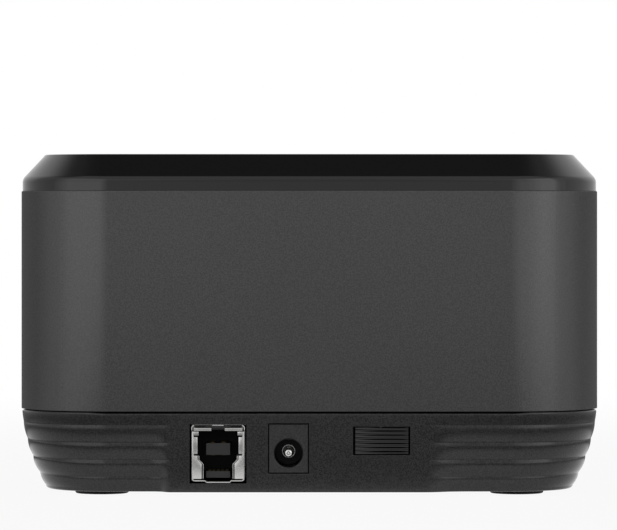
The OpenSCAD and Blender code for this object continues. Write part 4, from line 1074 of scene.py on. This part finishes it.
# white to the eye and in reflections, with a share of its own shading round the object to keep the shadow.
# In reflections the strip straight out from the object shows its own shading, and pales farther out.
def floorFinish():
    material, wire, place = newTree("paleFloor")
    seen, glossy, clear = [wire.node("LightPath", output=k) for k in (0, 3, 6)]
    mirrored = glossy + clear
    away = wire.node("VectorMath", {"operation": "LENGTH"}, {0: place}, output=1)
    lit = stage["floorLit"] * (1 - away.rise(*stage["litReach"]))
    near = wire.node("Mapping", {}, {"Vector": place, "Scale": (0.62, 1, 1)})
    near = wire.node("VectorMath", {"operation": "LENGTH"}, {0: near}, output=1)
    strip = stage["strip"] * near.rise(*stage["stripStart"]) * (1 - abs(place.part(0)).rise(*stage["stripHalf"]))
    for reach in stage["stripFar"]:
        strip = strip * (1 - stage["stripPale"] * away.rise(*reach))
    diffuse = wire.node("BsdfDiffuse", {}, {"Color": grey(stage["floorTone"])})
    white = wire.node("Emission", {}, {"Color": grey(1.0), "Strength": 1.0})
    shown = seen * (1 - lit) + mirrored * (1 - strip)
    wire.node("MixShader", {}, {0: shown.clamp(0, 1), 1: diffuse, 2: white}).ends("Material")
    return material


reach = stage["floorSize"] / 2
floorMesh = bpy.data.meshes.new("floor")
floorMesh.from_pydata([(-sx * reach, -sy * reach, 0) for sx, sy in quarters], [], [(0, 1, 2, 3)])
floorMesh.materials.append(floorFinish())
floor = bpy.data.objects.new("floor", floorMesh)
scene.collection.objects.link(floor)

# room: on the camera's side walls that dim above the horizon and brighten higher up, pale sides that darken
# near the top, a dark ceiling, and a paler backdrop beyond the object. behind is the cosine of the bearing
# from straight beyond it.
world = bpy.data.worlds.new("studio")
scene.world = world
world.use_nodes = True
world.node_tree.nodes.clear()
room = Wire(world.node_tree)
direction = room.node("TexCoord", output=0)
alongX, alongY, alongZ = [direction.part(k) for k in range(3)]
behind = 0 - alongY / (alongX * alongX + alongY * alongY + 0.001) ** 0.5
front = stage["horizon"] - alongZ.rise(0.04, 0.13) * (stage["horizon"] - stage["lowWall"]) \
    + alongZ.rise(0.45, 0.62) * (stage["highWall"] - stage["lowWall"])
aside = behind.rise(-0.45, 0.0)
sideLow, sideHigh = stage["sides"]
beside = sideLow - stage["sideTilt"] * alongX + alongZ.rise(*stage["sideDim"]) * (sideHigh - sideLow)
beyond = behind.rise(0.33, 0.66) * alongZ.rise(-0.1, 0.5) * stage["backdrop"]
walls = front * (1 - aside) + aside * beside + beyond
overhead = (alongZ - alongY * 0.1).rise(*stage["ceilingEdge"])  # leans away from the camera
radiance = walls * (1 - overhead) + overhead * stage["ceiling"]
seen = room.node("LightPath", output=0)
shown = radiance * (1 - seen) + seen
room.node("Background", {}, {"Color": grey(1.0), "Strength": shown}).ends("World")


# soft box: an area lamp of even radiance, whose power is pi times its area times that radiance
def softBox(name, place, target, width, height, radiance):
    lamp = bpy.data.lights.new(name, "AREA")
    lamp.shape, lamp.size, lamp.size_y = "RECTANGLE", width, height
    lamp.energy = math.pi * width * height * radiance
    holder = bpy.data.objects.new(name, lamp)
    scene.collection.objects.link(holder)
    aim = np.array(target) - np.array(place)
    holder.location = place
    holder.rotation_euler = (math.acos(-aim[2] / np.linalg.norm(aim)), 0, math.atan2(aim[1], aim[0]) - math.pi / 2)
    holder.visible_camera = False
    return holder


away = stage["sideDistance"]
for fromDeg, toDeg, radiance in stage["sideLights"]:
    a, spread = np.radians([(fromDeg + toDeg) / 2, (toDeg - fromDeg) / 2])
    place = (away * math.sin(a), away * math.cos(a), stage["sideMiddleZ"])
    width = 2 * away * math.tan(spread)
    softBox("sideLight", place, (0, 0, stage["sideTargetZ"]), width, stage["sideHeight"], radiance)

view = {
    "imageWidth": 617,
    "imageHeight": 530,
    "focalPixels": 4350.0,
    "distance": 1.0,  # from the rear face
    "heightZ": 0.0643,
    "horizonRow": 218.0,
    "middleColumn": 309.35,
}
lens = bpy.data.cameras.new("camera")
lens.sensor_fit, lens.sensor_width = "HORIZONTAL", 36.0
lens.lens = view["focalPixels"] / view["imageWidth"] * lens.sensor_width
lens.shift_x = (view["imageWidth"] / 2 - view["middleColumn"]) / view["imageWidth"]
lens.shift_y = (view["horizonRow"] - view["imageHeight"] / 2) / view["imageWidth"]
lens.clip_start, lens.clip_end = 0.01, 20
eye = bpy.data.objects.new("camera", lens)
eye.location = (0, case["depth"] / 2 * mm + view["distance"], view["heightZ"])
eye.rotation_euler = (math.pi / 2, 0, math.pi)
scene.collection.objects.link(eye)
scene.camera = eye
scene.view_settings.view_transform = "Standard"
print("stage ready")
